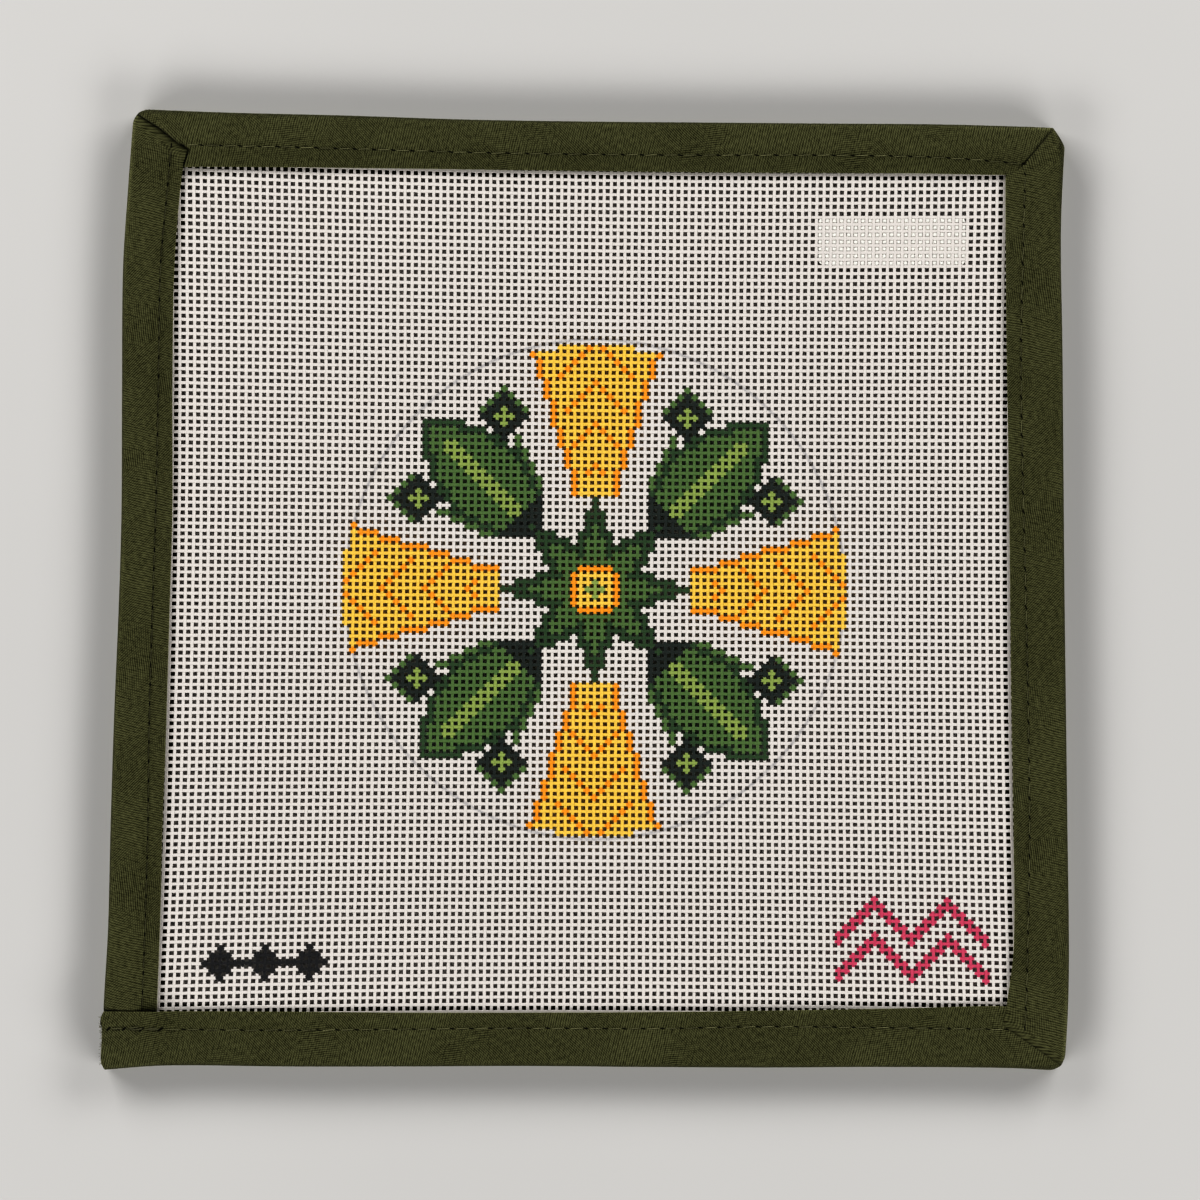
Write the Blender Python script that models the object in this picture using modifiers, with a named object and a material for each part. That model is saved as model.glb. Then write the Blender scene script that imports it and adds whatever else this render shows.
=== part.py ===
"""A bound needlepoint canvas, lying flat with its painted face up.

An open-weave cotton canvas has its raw edges folded into one length of twill tape. The tape starts at
the bottom left, goes up the left side and round three mitred corners, and its cut end closes the ring at the
bottom left. A blank paper label is stuck on the canvas's back, near the top right.

Run with: blender --background --python part.py
Units are metres. +Z points out of the painted face and +Y to the top edge. The origin is under the middle of
the panel, on the surface that it lies on.
"""

import math

import bmesh
import bpy

COLLECTION = "bound_needlepoint_canvas"

# Thicknesses
CANVAS_THICK = 0.0010  # woven cotton, over its crossings
TAPE_THICK = 0.0008  # two layers of twill: the face and the hem turned under it
LAYER_GAP = 0.0003  # between the tape and the canvas, above and below
LABEL_THICK = 0.0005
BOUND_THICK = CANVAS_THICK + 2 * (TAPE_THICK + LAYER_GAP)
MID_HEIGHT = BOUND_THICK / 2

# The bound edge
BAND = 0.0106  # usual width of the tape's front leg
BACK_LEG_EXTRA = 0.0012  # the back leg is folded a little wider than the front one
CANVAS_INSET = 0.0026  # from the tape's outer fold to the canvas's cut edge
TAPE_END_X = (-0.0963, -0.0970)  # the tape's cut end, past the left side: at its outer fold and inner edge
END_TRIM = 0.0007  # the cut end's lower corner is clipped by this much
CORNER_RADIUS = 0.0032  # of the tape's outer fold at a mitred corner
INNER_RADIUS = 0.0006  # of the tape's inner edge there
MITRE_LIFT = 0.0003  # how far the over-lying fold stands above the other one
MITRE_FADE = 0.010  # the lift has died away this far from the mitre

# How finely the tape and the canvas are divided
SIDE_STEPS = 13
CORNER_STEPS = (0.22, 0.44, 0.56, 0.78)  # the mitre lies between the middle two
FOLD_STEPS = 6
LEG_STEPS = 3
CANVAS_STEPS = 22

# The panel's uneven outline. Columns: place along the side, tape's outer fold, tape's inner edge.
# Left and right sides are placed by y and give x. Top and bottom sides are placed by x and give y.
LEFT = (
    (-0.0958, -0.0961, -0.0860),
    (-0.0838, -0.0958, -0.0854),
    (-0.0678, -0.0951, -0.0846),
    (-0.0478, -0.0946, -0.0838),
    (-0.0258, -0.0938, -0.0830),
    (-0.0018, -0.0928, -0.0824),
    (0.0162, -0.0924, -0.0821),
    (0.0402, -0.0922, -0.0820),
    (0.0642, -0.0920, -0.0816),
    (0.0802, -0.0911, -0.0807),
    (0.0962, -0.0900, -0.0783),
)
TOP = (
    (-0.0898, 0.0962, 0.0846),
    (-0.0718, 0.0953, 0.0845),
    (-0.0478, 0.0948, 0.0843),
    (-0.0238, 0.0941, 0.0841),
    (0.0002, 0.0937, 0.0838),
    (0.0242, 0.0934, 0.0835),
    (0.0482, 0.0932, 0.0834),
    (0.0722, 0.0929, 0.0832),
    (0.0962, 0.0924, 0.0825),
)
RIGHT = (
    (-0.0958, 0.0966, 0.0839),
    (-0.0838, 0.0969, 0.0846),
    (-0.0718, 0.0970, 0.0862),
    (-0.0478, 0.0966, 0.0862),
    (-0.0238, 0.0963, 0.0858),
    (0.0002, 0.0960, 0.0855),
    (0.0242, 0.0958, 0.0852),
    (0.0482, 0.0956, 0.0850),
    (0.0722, 0.0952, 0.0845),
    (0.0922, 0.0961, 0.0842),
)
BOTTOM = (
    (-0.0968, -0.0960, -0.0847),
    (-0.0838, -0.0951, -0.0842),
    (-0.0598, -0.0951, -0.0843),
    (-0.0358, -0.0951, -0.0845),
    (-0.0118, -0.0950, -0.0846),
    (0.0122, -0.0952, -0.0844),
    (0.0362, -0.0953, -0.0841),
    (0.0602, -0.0952, -0.0837),
    (0.0842, -0.0955, -0.0831),
    (0.0962, -0.0960, -0.0830),
)
OUTER, INNER = 1, 2

# Broad swells of the canvas between its bound edges. Columns: x, y, reach, height.
SWELLS = (
    (-0.046, 0.040, 0.030, 0.00035),
    (0.038, 0.020, 0.034, 0.00030),
    (-0.020, -0.046, 0.030, -0.00022),
    (0.050, -0.052, 0.028, 0.00030),
)
SWELL_EDGE = 0.016  # the swells die away this far inside the tape

# The label, seen through the canvas from the front
LABEL_SIZE = (0.0295, 0.0098)
LABEL_CENTRE = (0.0616, 0.0698)
LABEL_RADIUS = 0.0012
LABEL_ARC_STEPS = 5

CANVAS_COLOUR = (0.83, 0.78, 0.74, 1)
TAPE_COLOUR = (0.050, 0.048, 0.022, 1)
LABEL_COLOUR = (0.88, 0.87, 0.84, 1)


def lerp(a, b, share):
    return a + (b - a) * share


def smooth(share):
    """0 up to share 0, 1 from share 1, with a soft rise between."""
    share = min(max(share, 0.0), 1.0)
    return share * share * (3 - 2 * share)


def read(table, place, column):
    """A column of a side's table at a place along it, on a smooth curve through the rows."""
    last = len(table) - 1
    i = 0
    while i < last - 1 and table[i + 1][0] < place:
        i += 1
    before, start, end, after = (table[min(max(i + k, 0), last)] for k in (-1, 0, 1, 2))
    step = end[0] - start[0]
    slope_start = (end[column] - before[column]) / (end[0] - before[0]) * step
    slope_end = (after[column] - start[column]) / (after[0] - start[0]) * step
    t = (place - start[0]) / step
    return (
        (2 * t**3 - 3 * t**2 + 1) * start[column]
        + (t**3 - 2 * t**2 + t) * slope_start
        + (3 * t**2 - 2 * t**3) * end[column]
        + (t**3 - t**2) * slope_end
    )


def across(table, place, share):
    """How far out a side lies at a place along it: share 0 is the outer fold and 1 the inner edge."""
    return lerp(read(table, place, OUTER), read(table, place, INNER), share)


def corner(upright, level, share):
    """Where an upright side and a level side meet, at that share of the tape's width."""
    left, low = upright is LEFT, level is BOTTOM
    x, y = upright[0][OUTER], level[-1 if left else 0][OUTER]
    for _ in range(5):
        x = across(upright, y, share)
        y = across(level, x, share)
    return x, y


def fillet(start, apex, end, share):
    """A point on the round corner that leaves start towards apex and arrives at end from it."""
    return tuple(
        lerp(lerp(a, b, share), lerp(b, c, share), share)
        for a, b, c in zip(start, apex, end)
    )


def side_points(table, start, end, share):
    """Evenly spaced points along one side, at that share of the tape's width."""
    places = [lerp(start, end, k / (SIDE_STEPS - 1)) for k in range(SIDE_STEPS)]
    outs = [across(table, place, share) for place in places]
    upright = table in (LEFT, RIGHT)
    return list(zip(outs, places)) if upright else list(zip(places, outs))


def rail(share, back):
    """The line that one lengthwise row of the tape follows, from its start at the bottom left to its cut end.

    share is across the tape's width, and back is 0 on the front leg and 1 on the back leg.
    """
    radius = lerp(CORNER_RADIUS, INNER_RADIUS, min(share, 1.0))
    top_left = corner(LEFT, TOP, share)
    top_right = corner(RIGHT, TOP, share)
    low_right = corner(RIGHT, BOTTOM, share)
    start_y = read(BOTTOM, across(LEFT, LEFT[1][0], share), INNER) + LAYER_GAP + back * BACK_LEG_EXTRA
    end_x = lerp(*TAPE_END_X, share) + END_TRIM * (1 - smooth(share / 0.15))
    sides = (
        side_points(LEFT, start_y, top_left[1] - radius, share),
        side_points(TOP, top_left[0] + radius, top_right[0] - radius, share),
        side_points(RIGHT, top_right[1] - radius, low_right[1] + radius, share),
        side_points(BOTTOM, low_right[0] - radius, end_x, share),
    )
    points = list(sides[0])
    for apex, side in zip((top_left, top_right, low_right), sides[1:]):
        entry = points[-1]
        points += [fillet(entry, apex, side[0], step) for step in CORNER_STEPS]
        points += side
    return points


def mitre_lifts():
    """How far the tape's front leg is lifted at each station: past a mitre it overlies the side before it."""
    lifts = [0.0] * SIDE_STEPS
    for _ in range(3):
        lifts += [0.0, 0.0, MITRE_LIFT, MITRE_LIFT]
        side_length = LEFT[-1][0] - LEFT[0][0]
        steps = [k * side_length / (SIDE_STEPS - 1) for k in range(SIDE_STEPS)]
        lifts += [MITRE_LIFT * (1 - smooth(step / MITRE_FADE)) for step in steps]
    return lifts


def tape_section():
    """The rows of the tape's folded section: (share of its width, height, how far it is on the front leg,
    how far on the back leg), along the middle of its thickness."""
    radius = (BOUND_THICK - TAPE_THICK) / 2
    fold_share = (TAPE_THICK / 2 + radius) / BAND
    back_share = 1 + BACK_LEG_EXTRA / BAND
    rows = []
    for k in range(LEG_STEPS):
        rows.append((lerp(1.0, fold_share, k / LEG_STEPS), MID_HEIGHT + radius, 1.0, 0.0))
    for k in range(FOLD_STEPS + 1):
        angle = math.pi * k / FOLD_STEPS
        inset = TAPE_THICK / 2 + radius * (1 - math.sin(angle))
        front = max(math.cos(angle), 0.0)
        rows.append((inset / BAND, MID_HEIGHT + radius * math.cos(angle), front, k / FOLD_STEPS))
    for k in range(1, LEG_STEPS + 1):
        rows.append((lerp(fold_share, back_share, k / LEG_STEPS), MID_HEIGHT - radius, 0.0, 1.0))
    return rows


def material(name, colour, roughness):
    made = bpy.data.materials.new(name)
    made.use_nodes = True
    shader = made.node_tree.nodes["Principled BSDF"]
    shader.inputs["Base Color"].default_value = colour
    shader.inputs["Roughness"].default_value = roughness
    shader.inputs["Metallic"].default_value = 0.0
    return made


def moved_grid(name, rows, columns, place):
    """A grid primitive whose point at (row, column) is moved to place(row, column)."""
    bm = bmesh.new()
    bmesh.ops.create_grid(bm, x_segments=rows - 1, y_segments=columns - 1, size=0.5)
    for vert in bm.verts:
        row = round((vert.co.x + 0.5) * (rows - 1))
        column = round((vert.co.y + 0.5) * (columns - 1))
        vert.co = place(row, column)
    mesh = bpy.data.meshes.new(name)
    bm.to_mesh(mesh)
    bm.free()
    return mesh


def add_object(collection, name, data, surface):
    made = bpy.data.objects.new(name, data)
    made.data.materials.append(surface)
    collection.objects.link(made)
    return made


def add_thickness(sheet, thickness):
    shell = sheet.modifiers.new("thickness", "SOLIDIFY")
    shell.thickness = thickness
    shell.offset = 0.0
    shell.use_even_offset = True


def make_tape(collection):
    """The tape as one sheet, folded over the canvas's edge and carried round three mitred corners."""
    section = tape_section()
    rails = [rail(share, back) for share, _, _, back in section]
    lifts = mitre_lifts()

    def place(row, column):
        _, height, front, _ = section[column]
        x, y = rails[column][row]
        return (x, y, height + front * lifts[row])

    mesh = moved_grid("binding_tape", len(lifts), len(section), place)
    tape = add_object(collection, "binding_tape", mesh, material("olive_twill", TAPE_COLOUR, 0.85))
    add_thickness(tape, TAPE_THICK)


def swell_height(x, y, u, v):
    """How far the canvas stands above its flat height, at a point that is u and v across it."""
    width = LEFT[-1][0] - LEFT[0][0]
    from_edge = min(u, 1 - u, v, 1 - v) * width - BAND
    swell = sum(
        height * math.exp(-((x - cx) ** 2 + (y - cy) ** 2) / reach**2)
        for cx, cy, reach, height in SWELLS
    )
    return swell * smooth(from_edge / SWELL_EDGE)


def make_canvas(collection):
    """The canvas as one flat sheet that reaches into the tape's fold on all four sides."""
    share = CANVAS_INSET / BAND
    low_left = corner(LEFT, BOTTOM, share)
    low_right = corner(RIGHT, BOTTOM, share)
    top_left = corner(LEFT, TOP, share)
    top_right = corner(RIGHT, TOP, share)

    def place(row, column):
        u, v = row / CANVAS_STEPS, column / CANVAS_STEPS
        left_y = lerp(low_left[1], top_left[1], v)
        right_y = lerp(low_right[1], top_right[1], v)
        low_x = lerp(low_left[0], low_right[0], u)
        top_x = lerp(top_left[0], top_right[0], u)
        left = (across(LEFT, left_y, share), left_y)
        right = (across(RIGHT, right_y, share), right_y)
        low = (low_x, across(BOTTOM, low_x, share))
        top = (top_x, across(TOP, top_x, share))
        x, y = (
            lerp(left[k], right[k], u)
            + lerp(low[k], top[k], v)
            - lerp(lerp(low_left[k], low_right[k], u), lerp(top_left[k], top_right[k], u), v)
            for k in (0, 1)
        )
        return (x, y, MID_HEIGHT + swell_height(x, y, u, v))

    mesh = moved_grid("canvas", CANVAS_STEPS + 1, CANVAS_STEPS + 1, place)
    canvas = add_object(collection, "canvas", mesh, material("cotton_canvas", CANVAS_COLOUR, 0.9))
    add_thickness(canvas, CANVAS_THICK)


def make_label(collection):
    """The label as a flat outline with round corners, against the canvas's back."""
    curve = bpy.data.curves.new("label", "CURVE")
    curve.dimensions = "2D"
    curve.fill_mode = "BOTH"
    curve.extrude = LABEL_THICK / 2
    half_width, half_height = (side / 2 - LABEL_RADIUS for side in LABEL_SIZE)
    points = []
    for turn, (x_sign, y_sign) in enumerate(((1, 1), (-1, 1), (-1, -1), (1, -1))):
        for k in range(LABEL_ARC_STEPS + 1):
            angle = math.pi / 2 * (turn + k / LABEL_ARC_STEPS)
            x = x_sign * half_width + LABEL_RADIUS * math.cos(angle)
            y = y_sign * half_height + LABEL_RADIUS * math.sin(angle)
            points.append((x, y))
    spline = curve.splines.new("POLY")
    spline.points.add(len(points) - 1)
    for point, (x, y) in zip(spline.points, points):
        point.co = (x, y, 0.0, 1.0)
    spline.use_cyclic_u = True
    label = add_object(collection, "back_label", curve, material("label_paper", LABEL_COLOUR, 0.6))
    underside = MID_HEIGHT - CANVAS_THICK / 2 - LAYER_GAP
    label.location = (*LABEL_CENTRE, underside - LABEL_THICK / 2)


def main():
    for old in list(bpy.data.objects):
        bpy.data.objects.remove(old)
    collection = bpy.data.collections.new(COLLECTION)
    bpy.context.scene.collection.children.link(collection)
    make_canvas(collection)
    make_tape(collection)
    make_label(collection)


main()
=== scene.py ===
import math

import bpy
import numpy as np
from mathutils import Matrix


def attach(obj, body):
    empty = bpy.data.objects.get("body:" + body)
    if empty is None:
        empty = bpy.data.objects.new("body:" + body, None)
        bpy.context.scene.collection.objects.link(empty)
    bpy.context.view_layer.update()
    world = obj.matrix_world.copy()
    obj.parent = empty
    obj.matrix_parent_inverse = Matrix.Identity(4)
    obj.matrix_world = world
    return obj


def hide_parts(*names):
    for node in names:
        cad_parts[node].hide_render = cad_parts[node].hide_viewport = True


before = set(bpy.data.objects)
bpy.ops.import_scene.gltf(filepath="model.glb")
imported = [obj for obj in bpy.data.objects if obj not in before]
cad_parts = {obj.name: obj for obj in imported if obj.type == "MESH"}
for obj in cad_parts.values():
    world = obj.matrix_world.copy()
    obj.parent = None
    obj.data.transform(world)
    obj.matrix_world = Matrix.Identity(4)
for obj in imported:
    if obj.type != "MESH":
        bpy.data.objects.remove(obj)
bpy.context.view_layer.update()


# ---------------------------------------------------------------------------------------------------
# The table that the panel lies on, with the studio's lamps and the camera. The floor is plain and pale.
# Four wide soft lamps stand low round the panel, so that the cloth's relief shows and the canvas's holes
# stay dark, and the camera looks straight down as the photograph does.
# ---------------------------------------------------------------------------------------------------
VIEW_CENTRE = (0.0030, -0.0020)
VIEW_WIDTH = 0.240
LENS, SENSOR = 100.0, 36.0
CLOTH_HEIGHT = 0.0018

FLOOR_SIZE = 3.0
FLOOR_COLOUR = (0.56, 0.55, 0.535, 1)

LAMP_DISTANCE, LAMP_HEIGHT = 1.00, 0.28
LAMP_WIDTH, LAMP_TALL = 0.90, 0.20
LAMPS = ((135, 11.5), (45, 10.0), (-45, 9.5), (-135, 9.0))  # direction round the panel in degrees, power
SKY = (0.90, 0.95, 1.0, 1)
SKY_STRENGTH = 0.03
EXPOSURE = -0.34


def add(tree, kind, inputs=None, **settings):
    """A node with its settings. inputs maps a socket's name or number to a value or another node's output."""
    node = tree.nodes.new(kind)
    for name, value in settings.items():
        setattr(node, name, value)
    for socket, value in (inputs or {}).items():
        if isinstance(value, bpy.types.NodeSocket):
            tree.links.new(value, node.inputs[socket])
        else:
            node.inputs[socket].default_value = value
    return node


def calc(tree, operation, *values):
    """One step of arithmetic in a node tree."""
    return add(tree, "ShaderNodeMath", dict(enumerate(values)), operation=operation).outputs[0]


def new_material(name, colour, roughness, **sockets):
    """A material and its node tree. The Principled shader's plain values are set here."""
    made = bpy.data.materials.new(name)
    made.use_nodes = True
    made.diffuse_color = colour
    shader = made.node_tree.nodes["Principled BSDF"]
    shader.inputs["Base Color"].default_value = colour
    shader.inputs["Roughness"].default_value = roughness
    for socket, value in sockets.items():
        shader.inputs[socket.replace("_", " ")].default_value = value
    return made, made.node_tree, shader


def shader_group(name, takes, gives):
    """A new shader node group. takes maps an input's name to its default, and gives lists the outputs."""
    group = bpy.data.node_groups.new(name, "ShaderNodeTree")
    for label, value in takes.items():
        kind = "NodeSocketVector" if isinstance(value, tuple) else "NodeSocketFloat"
        group.interface.new_socket(label, in_out="INPUT", socket_type=kind).default_value = value
    for label in gives:
        group.interface.new_socket(label, in_out="OUTPUT", socket_type="NodeSocketFloat")
    return group, group.nodes.new("NodeGroupInput").outputs, group.nodes.new("NodeGroupOutput").inputs


def use_group(tree, group, inputs):
    """Places a node group and gives its outputs."""
    return add(tree, "ShaderNodeGroup", inputs, node_tree=group).outputs


def noise(tree, place, scale, detail, **more):
    """A noise texture's outputs."""
    inputs = {"Vector": place, "Scale": scale, "Detail": detail, **more}
    return add(tree, "ShaderNodeTexNoise", inputs).outputs


def scaled(tree, vector, factor):
    """A vector made longer or shorter, or a colour made lighter or darker."""
    return add(tree, "ShaderNodeVectorMath", {0: vector, "Scale": factor}, operation="SCALE").outputs[0]


def weighted(tree, base, *parts):
    """A base with shares of other values added to it. parts are pairs of a value and its share."""
    for value, share in parts:
        base = calc(tree, "MULTIPLY_ADD", value, share, base)
    return base


# Soft, cloudy variation that cloth, paper and the table all have: broad patches and fine specks.
mottle_group, taken, given = shader_group(
    "cloudy_variation",
    {"Place": (0.0, 0.0, 0.0), "Patch size": 0.03, "Speck size": 0.001},
    ("Patches", "Specks"),
)
for size, result, detail in (("Patch size", "Patches", 3.0), ("Speck size", "Specks", 1.0)):
    per_metre = calc(mottle_group, "DIVIDE", 1.0, taken[size])
    cloud = noise(mottle_group, taken["Place"], per_metre, detail, Roughness=0.55)
    mottle_group.links.new(cloud["Fac"], given[result])


def clouds(tree, patch, speck):
    """The cloudy variation on a piece, with patches and specks of these sizes."""
    place = add(tree, "ShaderNodeTexCoord").outputs["Object"]
    return use_group(tree, mottle_group, {"Place": place, "Patch size": patch, "Speck size": speck})


def place_object(name, data):
    """A new object in the scene."""
    made = bpy.data.objects.new(name, data)
    bpy.context.scene.collection.objects.link(made)
    return made


floor_mesh = bpy.data.meshes.new("table_top")
half = FLOOR_SIZE / 2
floor_corners = [(-half, -half, 0), (half, -half, 0), (half, half, 0), (-half, half, 0)]
floor_mesh.from_pydata(floor_corners, [], [(0, 1, 2, 3)])
floor = place_object("table_top", floor_mesh)
floor_paint, tree, shader = new_material("pale_table", FLOOR_COLOUR, 0.75)
cloudy = clouds(tree, patch=0.12, speck=0.002)
shade = weighted(tree, 0.98, (cloudy["Patches"], 0.04))
tree.links.new(scaled(tree, FLOOR_COLOUR[:3], shade), shader.inputs["Base Color"])
floor_mesh.materials.append(floor_paint)

for turn, power in LAMPS:
    lamp = bpy.data.lights.new("soft_lamp", "AREA")
    lamp.shape = "RECTANGLE"
    lamp.size, lamp.size_y = LAMP_WIDTH, LAMP_TALL
    lamp.energy = power
    stand = place_object("soft_lamp", lamp)
    angle = math.radians(turn)
    stand.location = (LAMP_DISTANCE * math.cos(angle), LAMP_DISTANCE * math.sin(angle), LAMP_HEIGHT)
    stand.rotation_euler = (-stand.location).to_track_quat("-Z", "Y").to_euler()  # facing the panel

sky = bpy.data.worlds.new("studio")
sky.use_nodes = True
sky.node_tree.nodes["Background"].inputs["Color"].default_value = SKY
sky.node_tree.nodes["Background"].inputs["Strength"].default_value = SKY_STRENGTH
bpy.context.scene.world = sky
bpy.context.scene.view_settings.view_transform = "Standard"
bpy.context.scene.view_settings.look = "Very High Contrast"
bpy.context.scene.view_settings.exposure = EXPOSURE

camera = place_object("camera", bpy.data.cameras.new("camera"))
camera.data.lens = LENS
camera.data.sensor_width = SENSOR
camera.data.clip_start = 0.01
camera.location = (*VIEW_CENTRE, CLOTH_HEIGHT + VIEW_WIDTH * LENS / SENSOR)
bpy.context.scene.camera = camera


# ---------------------------------------------------------------------------------------------------
# The canvas: bleached cotton, about 18 threads to the inch, woven plain and open and stiffened with size.
# Every thread is modelled. Where two of them cross, one stands a little higher, and they are pressed into
# each other. The cloth was stretched unevenly when it was bound, so its rows and columns bow a little.
# ---------------------------------------------------------------------------------------------------
COLUMNS, ROWS = 117, 120  # threads that show inside the tape
HIDDEN = 3  # threads more on each side that the tape covers
TAIL = 0.0042  # the thread's straight cut end, inside the fold
THREAD_WIDTH, THREAD_THICK = 0.00060, 0.00034
WAVE = 0.000015  # a thread stands this much higher or lower than the middle where it crosses another
MID_HEIGHT = 0.00162
THREAD_SIDES, THREAD_SQUARENESS = 6, 1.75  # of its section
CROSSING_REACH = 0.25  # a thread runs level this far to each side of a crossing, in pitches
SIDE_JITTER, GIRTH_JITTER = 0.018, 0.07  # in pitches, and as a share of the thread's width
SLOW_SWAY, GIRTH_SHARES = 0.7, (0.6, 0.5, 0.35)  # weights of the slow and quick changes along a thread
TAIL_CROSSINGS = 3  # the weave's map goes on this far over a thread's cut end
HALF_COLUMNS, HALF_ROWS = COLUMNS / 2, ROWS / 2
HALF_ACROSS = (0.08258, 0.08259)  # what half the columns and half the rows measure

# Broad swells of the canvas between its bound edges. Columns: x, y, reach, height.
SWELLS = (
    (-0.046, 0.040, 0.030, 0.00035),
    (0.038, 0.020, 0.034, 0.00030),
    (-0.020, -0.046, 0.030, -0.00022),
    (0.050, -0.052, 0.028, 0.00030),
)
SWELL_FROM, SWELL_TO = 0.066, 0.082  # the swells die away between these distances from the middle
STRIP_SHARE = 0.9  # of its strip that a thread takes on the map that is baked


def smooth(share):
    """Eases from 0 to 1, and stays there."""
    share = np.clip(share, 0.0, 1.0)
    return share * share * (3 - 2 * share)


def crossing_place(column, row):
    """Where a column and a row cross. The terms in millimetres are the stretched cloth's bow and slant."""
    a = (column - (COLUMNS - 1) / 2) / HALF_COLUMNS
    b = (row - (ROWS - 1) / 2) / HALF_ROWS
    x = 2.01 - 0.44 * b - 0.35 * a**2 + 0.89 * a * b + 1.22 * a**3 + 1.24 * a * b**2
    y = 0.79 - 0.73 * a - 0.56 * b**2 + 0.48 * a * b - 1.27 * b**3 - 1.09 * a**2 * b
    return HALF_ACROSS[0] * a + x / 1000, -HALF_ACROSS[1] * b + y / 1000


def swell_height(x, y):
    """How far the canvas stands above its flat height."""
    height = sum(h * np.exp(-((x - cx) ** 2 + (y - cy) ** 2) / reach**2) for cx, cy, reach, h in SWELLS)
    out = np.maximum(np.abs(x), np.abs(y))
    return height * (1 - smooth((out - SWELL_FROM) / (SWELL_TO - SWELL_FROM)))


def slow_noise(seed, count, length, every):
    """Rows of smooth random values from -1 to 1, one row for each thread, changing over about every steps."""
    dice = np.random.default_rng(seed)
    knots = length // every + 3
    rough = dice.uniform(-1, 1, (count, knots))
    at = np.arange(length) / every
    low = at.astype(int)
    part = smooth(at - low)
    return rough[:, low] * (1 - part) + rough[:, low + 1] * part


def store(mesh, label, values, kind="FLOAT", domain="POINT"):
    """Keeps a number or a vector for each point or corner on the mesh."""
    kept = mesh.attributes.new(label, kind, domain)
    numbers = np.asarray(values, np.float32).reshape(-1)
    kept.data.foreach_set("vector" if kind == "FLOAT_VECTOR" else "value", numbers)


def store_map(mesh, label, across, up):
    """A map that gives each corner of the faces its place."""
    places = np.stack([across, up], axis=-1).astype(np.float32)
    mesh.uv_layers.new(name=label).data.foreach_set("uv", places.reshape(-1))


def thread_guides(name, upright, first, last):
    """The centre lines of the threads numbered first to last: a mesh of edges, with each point's facts.

    crossing counts the crossings along the thread, thread is its number, and girth its thickness there.
    """
    own, other = (COLUMNS, ROWS) if upright else (ROWS, COLUMNS)
    numbers = np.arange(first, last + 1)
    crossings = np.arange(-HIDDEN, other + HIDDEN)
    steps = np.sort(np.concatenate([crossings - CROSSING_REACH, crossings + CROSSING_REACH]))
    nearest = np.round(steps).astype(int)
    seed = 1000 if upright else 2000

    def varied(kind, length, every):
        """One kind of change for each of the threads."""
        return slow_noise(seed + kind, own + 2 * HIDDEN, length, every)[numbers + HIDDEN]

    wander, shiver, fullness = (
        varied(kind, len(crossings), every)[:, nearest + HIDDEN] for kind, every in enumerate((5, 1, 3))
    )
    own_girth = varied(3, 1, 1)
    across = numbers[:, None] + SIDE_JITTER * (SLOW_SWAY * wander + shiver)
    along = np.broadcast_to(steps, across.shape)
    x, y = crossing_place(across, along) if upright else crossing_place(along, across)
    over = (numbers[:, None] + nearest[None, :] + (0 if upright else 1)) % 2 == 0
    z = MID_HEIGHT + np.where(over, WAVE, -WAVE) + swell_height(x, y)
    changes = zip(GIRTH_SHARES, (own_girth, fullness, shiver))
    girth = 1 + GIRTH_JITTER * sum(share * change for share, change in changes)
    line = np.stack([x, y, z], axis=2)
    # the straight cut ends
    for end, inner in ((0, 1), (-1, -2)):
        way = line[:, end] - line[:, inner]
        way[:, 2] = 0
        way /= np.linalg.norm(way, axis=1)[:, None]
        tip = line[:, end] + way * TAIL
        tip[:, 2] = MID_HEIGHT
        line = np.insert(line, 0 if end == 0 else line.shape[1], tip, axis=1)
        girth = np.insert(girth, 0 if end == 0 else girth.shape[1], 1.0, axis=1)
    steps = np.concatenate([[steps[0] - TAIL_CROSSINGS], steps, [steps[-1] + TAIL_CROSSINGS]])

    count, length = line.shape[:2]
    mesh = bpy.data.meshes.new(name)
    index = np.arange(count * length).reshape(count, length)
    edges = np.stack([index[:, :-1], index[:, 1:]], axis=2).reshape(-1, 2)
    mesh.vertices.add(count * length)
    mesh.vertices.foreach_set("co", line.reshape(-1).astype(np.float32))
    mesh.edges.add(len(edges))
    mesh.edges.foreach_set("vertices", edges.reshape(-1).astype(np.int32))
    store(mesh, "crossing", np.broadcast_to(steps, (count, length)))
    store(mesh, "thread", np.broadcast_to(numbers[:, None], (count, length)))
    store(mesh, "girth", girth)
    return place_object(name, mesh)


def geometry_tree(name, takes):
    """A geometry node tree with named inputs. takes maps each to (socket type, default)."""
    tree = bpy.data.node_groups.new(name, "GeometryNodeTree")
    tree.interface.new_socket("Geometry", in_out="INPUT", socket_type="NodeSocketGeometry")
    for label, (kind, value) in takes.items():
        socket = tree.interface.new_socket(label, in_out="INPUT", socket_type=kind)
        if value is not None:
            socket.default_value = value
    tree.interface.new_socket("Geometry", in_out="OUTPUT", socket_type="NodeSocketGeometry")
    return tree, tree.nodes.new("NodeGroupInput").outputs, tree.nodes.new("NodeGroupOutput").inputs[0]


def grow(guide, tree, values):
    """Runs a geometry node tree on a guide and leaves the result as the guide's own plain mesh."""
    modifier = guide.modifiers.new("grow", "NODES")
    modifier.node_group = tree
    for item in tree.interface.items_tree:
        if item.in_out == "INPUT" and item.name in values:
            modifier[item.identifier] = values[item.name]
    evaluated = guide.evaluated_get(bpy.context.evaluated_depsgraph_get())
    made = bpy.data.meshes.new_from_object(evaluated)
    made.name = guide.name
    guide.modifiers.remove(modifier)
    old, guide.data = guide.data, made
    bpy.data.meshes.remove(old)
    return guide


def split(tree, vector):
    """A vector's three parts."""
    return add(tree, "ShaderNodeSeparateXYZ", {0: vector}).outputs


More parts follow.
